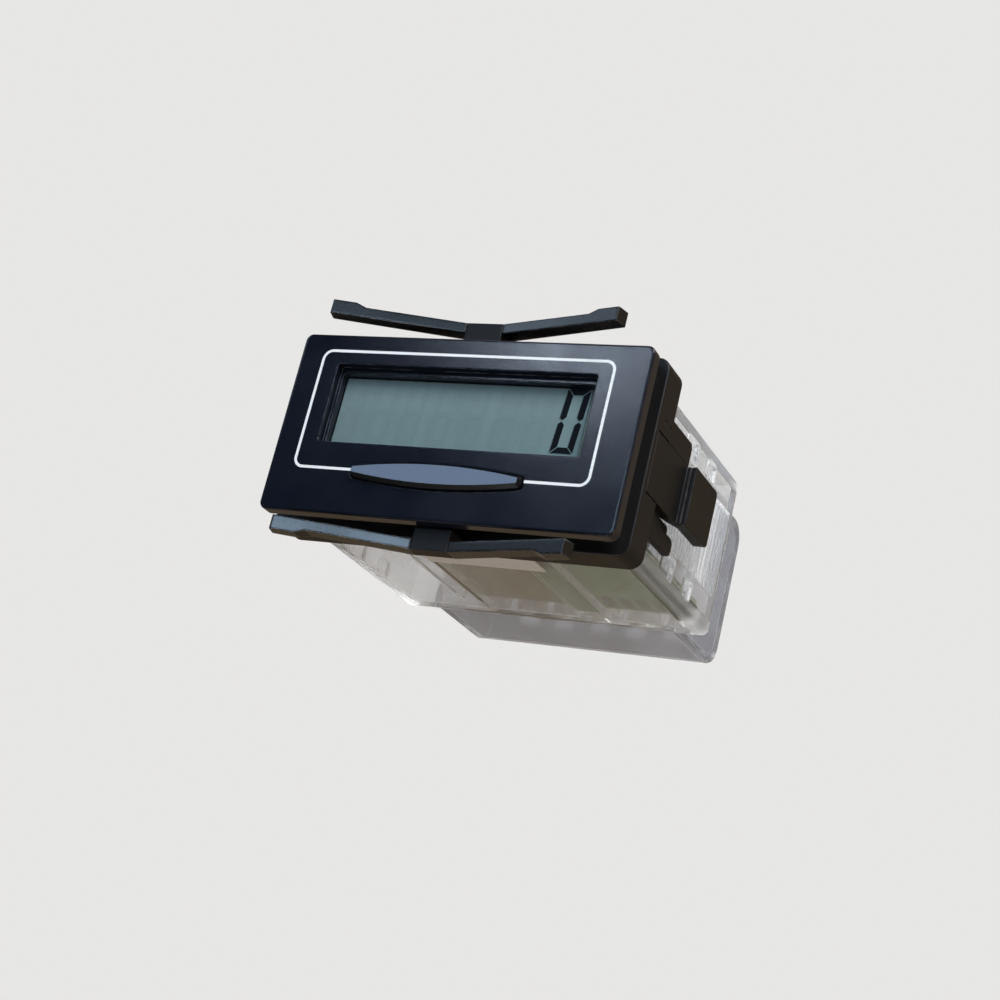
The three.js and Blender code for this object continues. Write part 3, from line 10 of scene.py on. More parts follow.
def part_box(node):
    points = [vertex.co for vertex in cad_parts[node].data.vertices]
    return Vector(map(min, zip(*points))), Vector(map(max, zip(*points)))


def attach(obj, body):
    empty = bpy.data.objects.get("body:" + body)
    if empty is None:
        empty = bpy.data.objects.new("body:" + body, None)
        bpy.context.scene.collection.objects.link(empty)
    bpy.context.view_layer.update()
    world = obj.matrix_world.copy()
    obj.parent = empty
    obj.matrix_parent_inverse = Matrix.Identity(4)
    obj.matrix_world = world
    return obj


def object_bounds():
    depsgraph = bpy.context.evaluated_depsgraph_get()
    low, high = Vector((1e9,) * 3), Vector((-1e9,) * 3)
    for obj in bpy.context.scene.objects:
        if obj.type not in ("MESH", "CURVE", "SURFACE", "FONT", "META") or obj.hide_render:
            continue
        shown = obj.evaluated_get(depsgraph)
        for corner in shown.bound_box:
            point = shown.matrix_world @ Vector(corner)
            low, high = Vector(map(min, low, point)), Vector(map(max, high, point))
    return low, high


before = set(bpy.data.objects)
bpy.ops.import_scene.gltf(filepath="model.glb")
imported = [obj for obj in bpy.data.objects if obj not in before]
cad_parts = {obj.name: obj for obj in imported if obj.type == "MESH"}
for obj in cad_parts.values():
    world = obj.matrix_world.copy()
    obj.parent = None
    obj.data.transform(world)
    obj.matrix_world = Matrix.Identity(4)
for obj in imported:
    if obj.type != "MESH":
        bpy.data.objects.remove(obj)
cad_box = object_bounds()

MM = 0.001

# Camera, fitted to the corners of the bezel, the clip and the housing.
CAMERA_PLACE = (113.54, -195.64, -80.76)
CAMERA_LOOK = (-0.45209, 0.83585, 0.3114)
CAMERA_UP = (-0.0672, -0.38004, 0.92253)
CAMERA_LENS = 71.5
CAMERA_NEAR = 10
CAMERA_FAR = 4000

# Lamps: direction from the object, width, watts and colour.
LAMP_DISTANCE = 520
LAMPS = {
    "key_lamp": ((0.45, -0.6, 0.66), 240, 2.75, (0.97, 0.99, 1.0)),
    "sheen_lamp": ((-0.38, -0.825, 0.42), 40, 0.12, (0.7, 0.82, 1.0)),
    "left_window_lamp": ((-0.76, -0.48, 0.44), 170, 0.2, (0.62, 0.8, 1.0)),
    "front_window_lamp": ((-0.05, -0.97, 0.2), 130, 0.5, (0.56, 0.77, 1.0)),
    "under_lamp": ((-0.14, -0.36, -0.92), 130, 0.85, (1.0, 0.985, 0.96)),
    "warm_side_lamp": ((0.86, 0.1, -0.2), 300, 0.45, (1.0, 0.94, 0.86)),
    "back_lamp": ((-0.55, 0.45, 0.7), 420, 0.4, (1.0, 0.97, 0.93)),
}

# Room: its darkest direction, and how far from it, by cosine, it starts and stops growing lighter.
PALE = (0.8, 0.795, 0.785)
ROOM_FRONT = (0.016, 0.02, 0.036)
ROOM_BACK = (0.25, 0.19, 0.125)
ROOM_DARKEST = (-0.45, -0.84, 0.31)
ROOM_DARK_UNTIL = 0.75
ROOM_LIGHT_FROM = -0.1

# Floor: it fades into the background between two distances.
FLOOR_TONE = (0.68, 0.676, 0.667)
FLOOR_REACH = 900
FLOOR_FADE_FROM = 110
FLOOR_FADE_TO = 420

# Printed white line round the window, by the centre of its stroke. It stops at the reset key.
LINE_LEFT = -20.55
LINE_RIGHT = 19.45
LINE_BOTTOM = -6.12
LINE_TOP = 9.72
LINE_WIDTH = 0.36
LINE_CORNER_RADIUS = 1.2
LINE_CORNER_STEPS = 8
LINE_THICKNESS = 0.02
LINE_KEY_GAP = 0.15
KEY_LEFT = -12.05
KEY_RIGHT = 11.15

# Digits of the display, by the lower left corner of the last one.
DIGIT_COUNT = 8
DIGIT_PITCH = 4.3
DIGIT_WIDTH = 3.0
DIGIT_HEIGHT = 8.4
DIGIT_LAST_LEFT = 12.45
DIGIT_BOTTOM = -1.45
DIGIT_SLANT = math.radians(4.5)
SEGMENT_WIDTH = 0.8
SEGMENT_GAP = 0.09
SEGMENT_THICKNESS = 0.01
SHADOW_SHIFT_X = -0.12
SHADOW_SHIFT_Z = -0.1

# Marks on the underside of the main board. Left of SHADED_BOARD_RIGHT it is olive-brown, a painted
# shade.
PAD_COUNT = 5
PAD_PITCH = 2.4
PAD_WIDTH = 1.5
PAD_LENGTH = 3.4
PAD_FIRST_X = 9.8
PAD_FROM_BACK = 4.6
PAD_THICKNESS = 0.1
SHADED_BOARD_RIGHT = 5
SHADED_BOARD_BLUR = 0.3

# Frosted ratchet on the housing's sides, outside a distance in x and within a height in z.
RATCHET_FROM_X = 21.6
RATCHET_TO_Z = 5.9
RATCHET_BLUR = 0.1

# Milky long corners of the housing, by the sum of the distances from the middle in x and in z.
CORNER_FROM = 31.0
CORNER_TO = 31.8

# Small black oval on each finger tab: painted shade standing in for a small hole.
HOLE_SHADE_FROM_X = 25.4
HOLE_SHADE_BLUR = 0.05
HOLE_SHADE_Y = 19.9
HOLE_SHADE_Z = -0.3
HOLE_SHADE_LENGTH = 0.9
HOLE_SHADE_HEIGHT = 0.5
HOLE_SHADE_SOFTNESS = 0.3

# Bare steel ends of the lithium cell, by the sleeve's distance from its front and its back.
SLEEVE_FROM_FRONT = 1.2
SLEEVE_FROM_BACK = 1.7
SLEEVE_BLUR = 0.1

# The reset key's flat face, by depth behind its front.
KEY_FACE_DEPTH = 0.01
KEY_SLOPE_DEPTH = 0.03

# Colours of the finishes. "Through" is what a clear piece leaves of a lamp's light. The edge colours
# of the bezel, arms and clip are partly wear and partly a painted highlight.
BLACK = (0.0, 0.0, 0.0)
WHITE = (1.0, 1.0, 1.0)
BEZEL_BLACK = (0.0045, 0.0065, 0.013)
BEZEL_EDGE_WEAR_AND_HIGHLIGHT = (0.24, 0.28, 0.34)
ARM_BLACK = (0.005, 0.005, 0.0055)
ARM_EDGE_WEAR_AND_HIGHLIGHT = (0.34, 0.37, 0.42)
CLIP_BLACK = (0.004, 0.004, 0.005)
CLIP_EDGE_WEAR_AND_HIGHLIGHT = (0.16, 0.17, 0.2)
KEY_SLOPE = (0.003, 0.0032, 0.005)
KEY_SLOPE_SPECK = (0.012, 0.012, 0.015)
KEY_FACE = (0.135, 0.18, 0.256)
KEY_FACE_SPECK = (0.155, 0.206, 0.288)
KEY_WORN = (0.3, 0.33, 0.4)
HOUSING_CLEAR = (0.87, 0.88, 0.9)
COVER_CLEAR = (0.5, 0.525, 0.58)
# Whitish edges and scratches of the clear plastics: partly scuffs, partly a painted highlight.
CLEAR_SCUFF_AND_HIGHLIGHT = (0.97, 0.97, 0.98)
CLEAR_THROUGH = (0.96, 0.955, 0.945)
FILM_STREAK = (0.146, 0.218, 0.222)
FILM_GREEN = (0.16, 0.236, 0.242)
FILM_FIBRE = (0.181, 0.263, 0.27)
REFLECTOR_GREEN = (0.42, 0.48, 0.44)
GLASS_GREEN = (0.62, 0.72, 0.67)
GLASS_DUST = (0.8, 0.84, 0.8)
GLASS_THROUGH = (0.8, 0.88, 0.84)
IDLE_SEGMENT = (0.161, 0.238, 0.244)
DIGIT_SHADOW = (0.1, 0.155, 0.16)
DIGIT_DARK = (0.006, 0.008, 0.011)
INK_WHITE = (0.93, 0.95, 0.955)
GASKET_BLACK = (0.012, 0.012, 0.013)
ZEBRA_CARBON = (0.02, 0.02, 0.022)
ZEBRA_CLEAR = (0.3, 0.3, 0.3)
COMPONENT_STEEL = (0.68, 0.69, 0.71)
COMPONENT_BLACK = (0.022, 0.022, 0.024)
SCREW_STEEL = (0.6, 0.61, 0.63)
NICKEL = (0.66, 0.63, 0.56)
CELL_STEEL = (0.62, 0.63, 0.65)
SLEEVE_DARK = (0.3, 0.27, 0.13)
SLEEVE_LIGHT = (0.36, 0.32, 0.16)
MASK_DARK = (0.045, 0.092, 0.036)
MASK_LIGHT = (0.06, 0.115, 0.05)
BOARD_SHADE_DARK = (0.085, 0.07, 0.028)
BOARD_SHADE_LIGHT = (0.105, 0.088, 0.038)
TRACE_GREEN = (0.125, 0.16, 0.1)
VIA_TIN = (0.3, 0.3, 0.27)
PAD_DARK = (0.012, 0.02, 0.014)
HOLDER_WHITE = (0.74, 0.74, 0.71)
HOLDER_CLOUD = (0.68, 0.68, 0.64)
LABEL_DARK = (0.48, 0.46, 0.44)
LABEL_LIGHT = (0.54, 0.52, 0.5)

# How a noise is stretched: its marks run along y, along z, or evenly.
ALONG_Y = (1.0, 0.1, 1.0)
ALONG_Z = (1.0, 1.0, 0.1)
FLOW_ALONG_Y = (1.0, 0.18, 1.0)
SCRATCH_STRETCH = (1.0, 0.06, 0.6)
EVEN = (1.0, 1.0, 1.0)

# Edges: the cosine between the real and the rounded normal, where the edge mask, for wear and painted
# highlight, starts and is full.
FLAT_COSINE = 0.99
SHARP_COSINE = 0.8

# Most values of a noise lie between these two.
NOISE_LOW = 0.3
NOISE_HIGH = 0.7

# Places of the colour sockets of Blender's Mix node.
MIX_FIRST, MIX_SECOND, MIX_RESULT = 6, 7, 2


# Node trees

class Tree:
    """A node tree with short ways to add and join nodes."""

    def __init__(self, tree):
        self.tree = tree

    def node(self, kind, settings=None, **inputs):
        made = self.tree.nodes.new(kind)
        for label, value in (settings or {}).items():
            setattr(made, label, value)
        for label, value in inputs.items():
            self.feed(made.inputs[label.replace("_", " ")], value)
        return made

    def feed(self, socket, value):
        if isinstance(value, bpy.types.NodeSocket):
            self.tree.links.new(value, socket)
        else:
            socket.default_value = value

    def feed_all(self, made, *values):
        """Feeds a node's inputs in their order."""
        for socket, value in zip(made.inputs, values):
            self.feed(socket, value)
        return made

    def position(self):
        return self.node("ShaderNodeTexCoord").outputs["Object"]

    def axis(self, name):
        return self.node("ShaderNodeSeparateXYZ", Vector=self.position()).outputs[name]

    def math(self, operation, *values, clamp=False):
        made = self.node("ShaderNodeMath", {"operation": operation, "use_clamp": clamp})
        return self.feed_all(made, *values).outputs[0]

    def vector_math(self, operation, first, second):
        made = self.node("ShaderNodeVectorMath", {"operation": operation})
        return self.feed_all(made, first, second).outputs

    def share(self, mask, amount):
        """A part of a mask."""
        return self.math("MULTIPLY", mask, amount)

    def ramp(self, value, low, high, start=0.0, end=1.0):
        """A smooth step from start, at the value low, to end, at the value high."""
        made = self.node("ShaderNodeMapRange", {"interpolation_type": "SMOOTHSTEP"})
        return self.feed_all(made, value, low, high, start, end).outputs[0]

    def spread(self, noise, start=0.0, end=1.0):
        """A noise spread out between start and end."""
        return self.ramp(noise, NOISE_LOW, NOISE_HIGH, start, end)

    def blend(self, share, first, second):
        made = self.node("ShaderNodeMix", {"data_type": "RGBA"})
        self.feed(made.inputs[0], share)
        self.feed(made.inputs[MIX_FIRST], colour(first))
        self.feed(made.inputs[MIX_SECOND], colour(second))
        return made.outputs[MIX_RESULT]

    def mix_shaders(self, share, first, second):
        return self.feed_all(self.node("ShaderNodeMixShader"), share, first, second).outputs[0]

    def noise(self, scale, detail=2.0, roughness=0.5, stretch=None):
        """Noise in the surface, whose grains are about as long as a metre over the scale."""
        vector = self.position()
        if stretch:
            vector = self.vector_math("MULTIPLY", vector, stretch)["Vector"]
        made = self.node(
            "ShaderNodeTexNoise", Vector=vector, Scale=scale, Detail=detail, Roughness=roughness
        )
        return made.outputs["Fac"]


def colour(value):
    """A colour of three numbers with alpha added; a socket stays as it is."""
    return value if isinstance(value, bpy.types.NodeSocket) else (*value, 1.0)


def shade(base, factor):
    """A colour made darker or lighter."""
    return tuple(min(1.0, factor * part) for part in base)


# Node groups that several finishes share

def new_group(name, inputs, outputs):
    """A node group with named sockets: inputs with their defaults, outputs with their kinds."""
    group = bpy.data.node_groups.new(name, "ShaderNodeTree")
    for label, value in inputs.items():
        socket = group.interface.new_socket(
            name=label, in_out="INPUT", socket_type="NodeSocketFloat"
        )
        socket.default_value = value
    for label, kind in outputs.items():
        group.interface.new_socket(name=label, in_out="OUTPUT", socket_type=kind)
    return Tree(group)


def put_out(tree, results):
    """Feeds a group's outputs by name."""
    last = tree.node("NodeGroupOutput")
    for label, socket in results.items():
        tree.feed(last.inputs[label], socket)


def make_grain():
    """Moulded grain: a height for bump, and sparse brighter specks."""
    tree = new_group(
        "moulded_grain",
        {"Scale": 4000.0, "Specks": 0.62},
        {"Height": "NodeSocketFloat", "Speck Mask": "NodeSocketFloat"},
    )
    given = tree.node("NodeGroupInput").outputs
    fine = tree.noise(given["Scale"])
    cells = tree.node("ShaderNodeTexVoronoi", Vector=tree.position(), Scale=given["Scale"])
    height = tree.math("MULTIPLY_ADD", cells.outputs["Distance"], -0.6, fine)
    specks = tree.ramp(fine, given["Specks"], 0.8)
    put_out(tree, {"Height": height, "Speck Mask": specks})
    return tree.tree


def make_edge_wear_and_highlight():
    """Edges: a rounded normal, and a mask that follows sharp edges, broken up by noise. The mask
    marks wear, and on the black and clear plastics also a painted highlight.
    """
    tree = new_group(
        "edge_wear_and_highlight_group",
        {"Radius": 0.0002, "Breakup": 900.0, "Patches From": 0.35, "Patches To": 0.7},
        {"Mask": "NodeSocketFloat", "Normal": "NodeSocketVector"},
    )
    given = tree.node("NodeGroupInput").outputs
    rounded = tree.node("ShaderNodeBevel", {"samples": 6}, Radius=given["Radius"]).outputs["Normal"]
    flat = tree.node("ShaderNodeNewGeometry").outputs["True Normal"]
    turned = tree.vector_math("DOT_PRODUCT", rounded, flat)["Value"]
    sharp = tree.ramp(turned, FLAT_COSINE, SHARP_COSINE)
    broken = tree.noise(given["Breakup"], detail=3.0)
    patches = tree.ramp(broken, given["Patches From"], given["Patches To"])
    put_out(tree, {"Mask": tree.math("MULTIPLY", sharp, patches), "Normal": rounded})
    return tree.tree


def make_handling():
    """Handling marks: broad uneven sheen and thin long scratches."""
    tree = new_group(
        "handling_marks",
        {"Scale": 120.0, "Scratch Scale": 500.0},
        {"Sheen": "NodeSocketFloat", "Scratches": "NodeSocketFloat"},
    )
    given = tree.node("NodeGroupInput").outputs
    sheen = tree.noise(given["Scale"], detail=4.0, roughness=0.6)
    streaks = tree.noise(given["Scratch Scale"], stretch=SCRATCH_STRETCH)
    thin = tree.ramp(tree.math("ABSOLUTE", tree.math("SUBTRACT", streaks, 0.5)), 0.012, 0.0)
    rare = tree.ramp(tree.noise(given["Scale"], detail=1.0), 0.5, 0.65)
    put_out(tree, {"Sheen": sheen, "Scratches": tree.math("MULTIPLY", thin, rare)})
    return tree.tree


GRAIN = make_grain()
EDGE_WEAR_AND_HIGHLIGHT = make_edge_wear_and_highlight()
HANDLING = make_handling()


# Finishes

class Finish(Tree):
    """A material with one Principled shader, built up by the functions below."""

    def __init__(self, name, **values):
        self.material = bpy.data.materials.new(name)
        self.material.use_nodes = True
        super().__init__(self.material.node_tree)
        self.tree.nodes.clear()
        self.output = self.node("ShaderNodeOutputMaterial")
        self.shader = self.node("ShaderNodeBsdfPrincipled")
        self.show(self.shader.outputs["BSDF"])
        for label, value in values.items():
            self.set(label.replace("_", " "), value)

    def set(self, label, value):
        is_colour = isinstance(value, tuple) and len(value) == 3
        self.feed(self.shader.inputs[label], colour(value) if is_colour else value)

    def show(self, surface):
        self.feed(self.output.inputs["Surface"], surface)

    def place(self, group, **inputs):
        made = self.node("ShaderNodeGroup", {"node_tree": group}, **inputs)
        return made.outputs

    def bump(self, height, strength, depth, normal=None):
        """Bump by a height, of which 1 stands for the depth in millimetres."""
        made = self.node("ShaderNodeBump", Strength=strength, Distance=depth * MM, Height=height)
        if normal is not None:
            self.feed(made.inputs["Normal"], normal)
        self.set("Normal", made.outputs["Normal"])

    def mix_with_clear(self, share, tint=WHITE):
        """The shader gives way to plain see-through, by a share."""
        clear = self.node("ShaderNodeBsdfTransparent", Color=colour(tint)).outputs["BSDF"]
        self.show(self.mix_shaders(share, self.shader.outputs["BSDF"], clear))

    def lets_lamps_through(self, tint):
        """Rays from lamps pass straight through, so that what lies behind is lit."""
        self.mix_with_clear(self.node("ShaderNodeLightPath").outputs["Is Shadow Ray"], tint)


def moulded_black(name, base, worn_and_highlight, roughness, grain_scale, grain_depth, edge=0.25, shine=0.5):
    """Black moulded plastic: grain, uneven sheen, edges polished by handling and lightened partly by
    wear, partly by a painted highlight.
    """
    finish = Finish(name, Specular_IOR_Level=shine)
    wear_and_highlight = finish.place(EDGE_WEAR_AND_HIGHLIGHT, Radius=edge * MM, Breakup=700.0)
    grain = finish.place(GRAIN, Scale=grain_scale, Specks=0.6)
    marks = finish.place(HANDLING, Scale=90.0)
    # Sharp edges take a lighter colour: partly wear, partly a painted highlight.
    edged_and_highlighted = finish.blend(finish.share(wear_and_highlight["Mask"], 0.35), base, worn_and_highlight)
    # Each finger tab gets a black oval: painted shade for a small hole.
    finish.set("Base Color", finish.blend(painted_hole_shade(finish), edged_and_highlighted, BLACK))
    sheen = finish.ramp(marks["Sheen"], 0.3, 0.75, roughness + 0.03, roughness - 0.04)
    dulled = finish.math("ADD", sheen, finish.share(grain["Speck Mask"], 0.12))
    polished = finish.math("SUBTRACT", dulled, finish.share(wear_and_highlight["Mask"], 0.06))
    finish.set("Roughness", polished)
    finish.bump(grain["Height"], strength=1.0, depth=grain_depth, normal=wear_and_highlight["Normal"])
    return finish.material


def painted_hole_shade(finish):
    """A mask for the small black oval in the outside of each finger tab, painted shade standing in
    for a small hole.
    """
    x = finish.axis("X")
    outside = finish.ramp(
        finish.math("ABSOLUTE", x), HOLE_SHADE_FROM_X * MM, (HOLE_SHADE_FROM_X + HOLE_SHADE_BLUR) * MM
    )
    from_middle_y = finish.math("SUBTRACT", finish.axis("Y"), HOLE_SHADE_Y * MM)
    along = finish.math("DIVIDE", from_middle_y, HOLE_SHADE_LENGTH / 2 * MM)
    z = finish.math("MULTIPLY", finish.axis("Z"), finish.math("SIGN", x))
    from_middle_z = finish.math("SUBTRACT", z, HOLE_SHADE_Z * MM)
    across = finish.math("DIVIDE", from_middle_z, HOLE_SHADE_HEIGHT / 2 * MM)
    squares = [finish.math("MULTIPLY", part, part) for part in (along, across)]
    oval = finish.ramp(finish.math("ADD", *squares), 1.0 + HOLE_SHADE_SOFTNESS, 1.0 - HOLE_SHADE_SOFTNESS)
    return finish.math("MULTIPLY", oval, outside)


def key_plastic():
    """The reset key: blue-grey on its flat face, black on its slopes and sides."""
    finish = Finish("key_plastic", Specular_IOR_Level=0.15)
    face_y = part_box("reset_button")[0].y
    face = finish.ramp(
        finish.axis("Y"), face_y + KEY_SLOPE_DEPTH * MM, face_y + KEY_FACE_DEPTH * MM
    )
    grain = finish.place(GRAIN, Scale=3500.0, Specks=0.55)
    wear_and_highlight = finish.place(EDGE_WEAR_AND_HIGHLIGHT, Radius=0.15 * MM, Breakup=900.0)
    side = finish.blend(finish.share(grain["Speck Mask"], 0.5), KEY_SLOPE, KEY_SLOPE_SPECK)
    top = finish.blend(grain["Speck Mask"], KEY_FACE, KEY_FACE_SPECK)
    body = finish.blend(face, side, top)
    finish.set("Base Color", finish.blend(finish.share(wear_and_highlight["Mask"], 0.35), body, KEY_WORN))
    finish.set("Roughness", finish.spread(finish.noise(200.0, detail=3.0), 0.42, 0.55))
    finish.bump(grain["Height"], strength=0.3, depth=0.01, normal=wear_and_highlight["Normal"])
    return finish.material


def clear_plastic(name, tint, haze, roughness):
    """Clear polycarbonate, a little milky, with flow lines from the mould."""
    finish = Finish(name, IOR=1.45, Transmission_Weight=1.0 - haze)
    flow = finish.noise(260.0, detail=3.0, roughness=0.6, stretch=FLOW_ALONG_Y)
    marks = finish.place(HANDLING, Scale=140.0, Scratch_Scale=700.0)
    wear_and_highlight = finish.place(
        EDGE_WEAR_AND_HIGHLIGHT, Radius=0.45 * MM, Breakup=500.0, Patches_From=0.1, Patches_To=0.3
    )
    milky = finish.blend(finish.ramp(flow, 0.3, 0.75), tint, shade(tint, 0.88))
    # Edges and scratches turn whitish: partly scuffs, partly a painted highlight.
    bright = finish.math("MAXIMUM", wear_and_highlight["Mask"], finish.share(marks["Scratches"], 0.2))
    width = finish.math("ABSOLUTE", finish.axis("X"))
    height = finish.math("ABSOLUTE", finish.axis("Z"))
    side = finish.ramp(width, RATCHET_FROM_X * MM, (RATCHET_FROM_X + RATCHET_BLUR) * MM)
    level = finish.ramp(height, (RATCHET_TO_Z + RATCHET_BLUR) * MM, RATCHET_TO_Z * MM)
    ratchet = finish.math("MULTIPLY", side, level)
    kept = finish.math("MULTIPLY", bright, finish.math("MULTIPLY_ADD", ratchet, -0.6, 1.0))
    finish.set("Base Color", finish.blend(kept, milky, CLEAR_SCUFF_AND_HIGHLIGHT))
    corner = finish.ramp(finish.math("ADD", width, height), CORNER_FROM * MM, CORNER_TO * MM)
    sheen = finish.ramp(marks["Sheen"], 0.3, 0.75, roughness, roughness + 0.05)
    dull = finish.share(finish.math("MAXIMUM", wear_and_highlight["Mask"], corner), 0.45)
    frost = finish.math("ADD", dull, finish.share(ratchet, 0.1))
    finish.set("Roughness", finish.math("ADD", sheen, frost))
    finish.bump(flow, strength=0.12, depth=0.06)
    finish.lets_lamps_through(CLEAR_THROUGH)
    return finish.material


def display_film():
    """Grey-green reflecting display with faint streaks from top to bottom."""
    finish = Finish("display_film", Specular_IOR_Level=0.35)
    fibre = finish.noise(1500.0, detail=4.0, roughness=0.7)
    streak = finish.noise(420.0, stretch=ALONG_Z)
    base = finish.blend(finish.ramp(streak, 0.35, 0.65), FILM_STREAK, FILM_GREEN)
    finish.set("Base Color", finish.blend(finish.spread(fibre, 0.0, 0.35), base, FILM_FIBRE))
    finish.set("Roughness", finish.spread(fibre, 0.38, 0.5))
    finish.bump(fibre, strength=0.1, depth=0.01)
    return finish.material


def plain_print(name, base, roughness, shine=0.3):
    """Ink, film or dark liquid crystal: even, with a slightly uneven surface."""
    finish = Finish(name, Specular_IOR_Level=shine)
    grit = finish.noise(6000.0)
    finish.set("Base Color", finish.blend(finish.spread(grit), base, shade(base, 0.9)))
    finish.set("Roughness", finish.spread(grit, roughness, roughness + 0.08))
    return finish.material


def display_glass():
    """Thin greenish glass with a little dust."""
    finish = Finish("display_glass", IOR=1.5, Transmission_Weight=0.6)
    dust = finish.ramp(finish.noise(2500.0, detail=3.0), 0.62, 0.75)
    finish.set("Base Color", finish.blend(dust, GLASS_GREEN, GLASS_DUST))
    finish.set("Roughness", finish.ramp(dust, 0.0, 1.0, 0.06, 0.3))
    finish.lets_lamps_through(GLASS_THROUGH)
    return finish.material


def gasket_rubber():
    """Black rubber with dust in its pores."""
    finish = Finish("gasket_rubber", Specular_IOR_Level=0.3)
    grit = finish.noise(3000.0, detail=3.0, roughness=0.6)
    wear_and_highlight = finish.place(EDGE_WEAR_AND_HIGHLIGHT, Radius=0.1 * MM)
    dust = finish.ramp(grit, 0.5, 0.8)
    finish.set("Base Color", finish.blend(dust, GASKET_BLACK, shade(GASKET_BLACK, 2.2)))
    finish.set("Roughness", finish.spread(grit, 0.75, 0.9))
    finish.bump(grit, strength=0.4, depth=0.02, normal=wear_and_highlight["Normal"])
    return finish.material


def zebra_rubber():
    """Conductive strip: thin carbon layers between clear ones, crosswise."""
    finish = Finish("zebra_rubber", Specular_IOR_Level=0.3, Roughness=0.6)
    layers = finish.node(
        "ShaderNodeTexWave", {"bands_direction": "X"}, Vector=finish.position(), Scale=1600.0
    ).outputs["Fac"]
    stripes = finish.ramp(layers, 0.3, 0.6)
    finish.set("Base Color", finish.blend(stripes, ZEBRA_CARBON, ZEBRA_CLEAR))
    finish.bump(layers, strength=0.3, depth=0.02)
    return finish.material


def metal(name, base, roughness, grain_stretch=EVEN):
    """Plated or drawn metal with fine lines along its grain."""
    finish = Finish(name, Metallic=1.0)
    lines = finish.noise(3000.0, detail=3.0, roughness=0.6, stretch=grain_stretch)
    stain = finish.noise(500.0, detail=3.0)
    wear_and_highlight = finish.place(EDGE_WEAR_AND_HIGHLIGHT, Radius=0.1 * MM)
    stained = finish.blend(finish.ramp(stain, 0.45, 0.75), base, shade(base, 0.75))
    finish.set("Base Color", finish.blend(wear_and_highlight["Mask"], stained, shade(base, 1.15)))
    finish.set("Roughness", finish.spread(lines, roughness, roughness + 0.15))
    finish.bump(lines, strength=0.2, depth=0.01, normal=wear_and_highlight["Normal"])
    return finish.material


def green_board():
    """Solder mask over copper: paler traces, small vias, and an olive-brown painted shade over the
    left part.
    """
    finish = Finish("green_board", Specular_IOR_Level=0.0, Roughness=0.5)
    cells = finish.node(
        "ShaderNodeTexBrick",
        {"offset": 0.3},
        Vector=finish.position(),
        Scale=160.0,
        Mortar_Size=0.03,
        Color1=colour(BLACK),
        Color2=colour(shade(WHITE, 0.4)),
        Mortar=colour(WHITE),
    )
    traces = finish.ramp(cells.outputs["Color"], 0.6, 0.9)
    dots = finish.node("ShaderNodeTexVoronoi", Vector=finish.position(), Scale=420.0)
    vias = finish.ramp(dots.outputs["Distance"], 0.16, 0.12)
    weave = finish.spread(finish.noise(900.0, detail=3.0))
    masked = finish.blend(weave, MASK_DARK, MASK_LIGHT)
    # The left part of the board is olive-brown: painted shade.
    bare = finish.blend(weave, BOARD_SHADE_DARK, BOARD_SHADE_LIGHT)
    right, left = SHADED_BOARD_RIGHT + SHADED_BOARD_BLUR, SHADED_BOARD_RIGHT - SHADED_BOARD_BLUR
    base = finish.blend(finish.ramp(finish.axis("X"), right * MM, left * MM), masked, bare)
    traced = finish.blend(finish.share(traces, 0.35), base, TRACE_GREEN)
    finish.set("Base Color", finish.blend(finish.share(vias, 0.5), traced, VIA_TIN))
    finish.bump(finish.math("ADD", traces, vias), strength=0.3, depth=0.03)
    return finish.material


def black_component():
    """Moulded parts on the boards: fine sand finish."""
    finish = Finish("black_component", Specular_IOR_Level=0.4)
    grain = finish.place(GRAIN, Scale=5000.0, Specks=0.55)
    wear_and_highlight = finish.place(EDGE_WEAR_AND_HIGHLIGHT, Radius=0.08 * MM)
    pale = finish.math("MAXIMUM", grain["Speck Mask"], wear_and_highlight["Mask"])
    finish.set("Base Color", finish.blend(pale, COMPONENT_BLACK, shade(COMPONENT_BLACK, 2.5)))
    finish.set("Roughness", finish.ramp(grain["Height"], 0.2, 0.8, 0.45, 0.6))
    finish.bump(grain["Height"], strength=0.3, depth=0.01, normal=wear_and_highlight["Normal"])
    return finish.material


def white_plastic():
    """The display's holder and the switch's plunger."""
    finish = Finish("white_plastic", Specular_IOR_Level=0.45)
    cloud = finish.noise(300.0, detail=3.0)
    wear_and_highlight = finish.place(EDGE_WEAR_AND_HIGHLIGHT, Radius=0.12 * MM)
    finish.set("Base Color", finish.blend(finish.spread(cloud), HOLDER_WHITE, HOLDER_CLOUD))
    finish.set("Roughness", finish.spread(cloud, 0.4, 0.5))
    finish.bump(cloud, strength=0.1, depth=0.05, normal=wear_and_highlight["Normal"])
    return finish.material


def cell_can():
    """The lithium cell: a plain sleeve round its can, bare steel at both ends."""
    finish = Finish("cell_can", Specular_IOR_Level=0.5)
    low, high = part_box("lithium_cell")
    y = finish.axis("Y")
    front, back = low.y + SLEEVE_FROM_FRONT * MM, high.y - SLEEVE_FROM_BACK * MM
    from_front = finish.ramp(y, front, front + SLEEVE_BLUR * MM)
    from_back = finish.ramp(y, back, back + SLEEVE_BLUR * MM)
    sleeve = finish.math("SUBTRACT", from_front, from_back, clamp=True)
    crease = finish.noise(800.0, detail=3.0, roughness=0.6, stretch=ALONG_Y)
    film = finish.blend(finish.spread(crease), SLEEVE_DARK, SLEEVE_LIGHT)
    finish.set("Base Color", finish.blend(sleeve, CELL_STEEL, film))
    finish.set("Metallic", finish.math("SUBTRACT", 1.0, sleeve))
    finish.set("Roughness", finish.spread(crease, 0.25, 0.4))
    finish.bump(crease, strength=0.25, depth=0.05)
    return finish.material


def label_film():
    """The bare label on the underside."""
    finish = Finish("label_film", Specular_IOR_Level=0.35)
    fibre = finish.noise(1800.0, detail=4.0, roughness=0.7)
    finish.set("Base Color", finish.blend(finish.spread(fibre), LABEL_DARK, LABEL_LIGHT))
    finish.set("Roughness", finish.spread(fibre, 0.5, 0.65))
    finish.bump(fibre, strength=0.15, depth=0.02)
    return finish.material


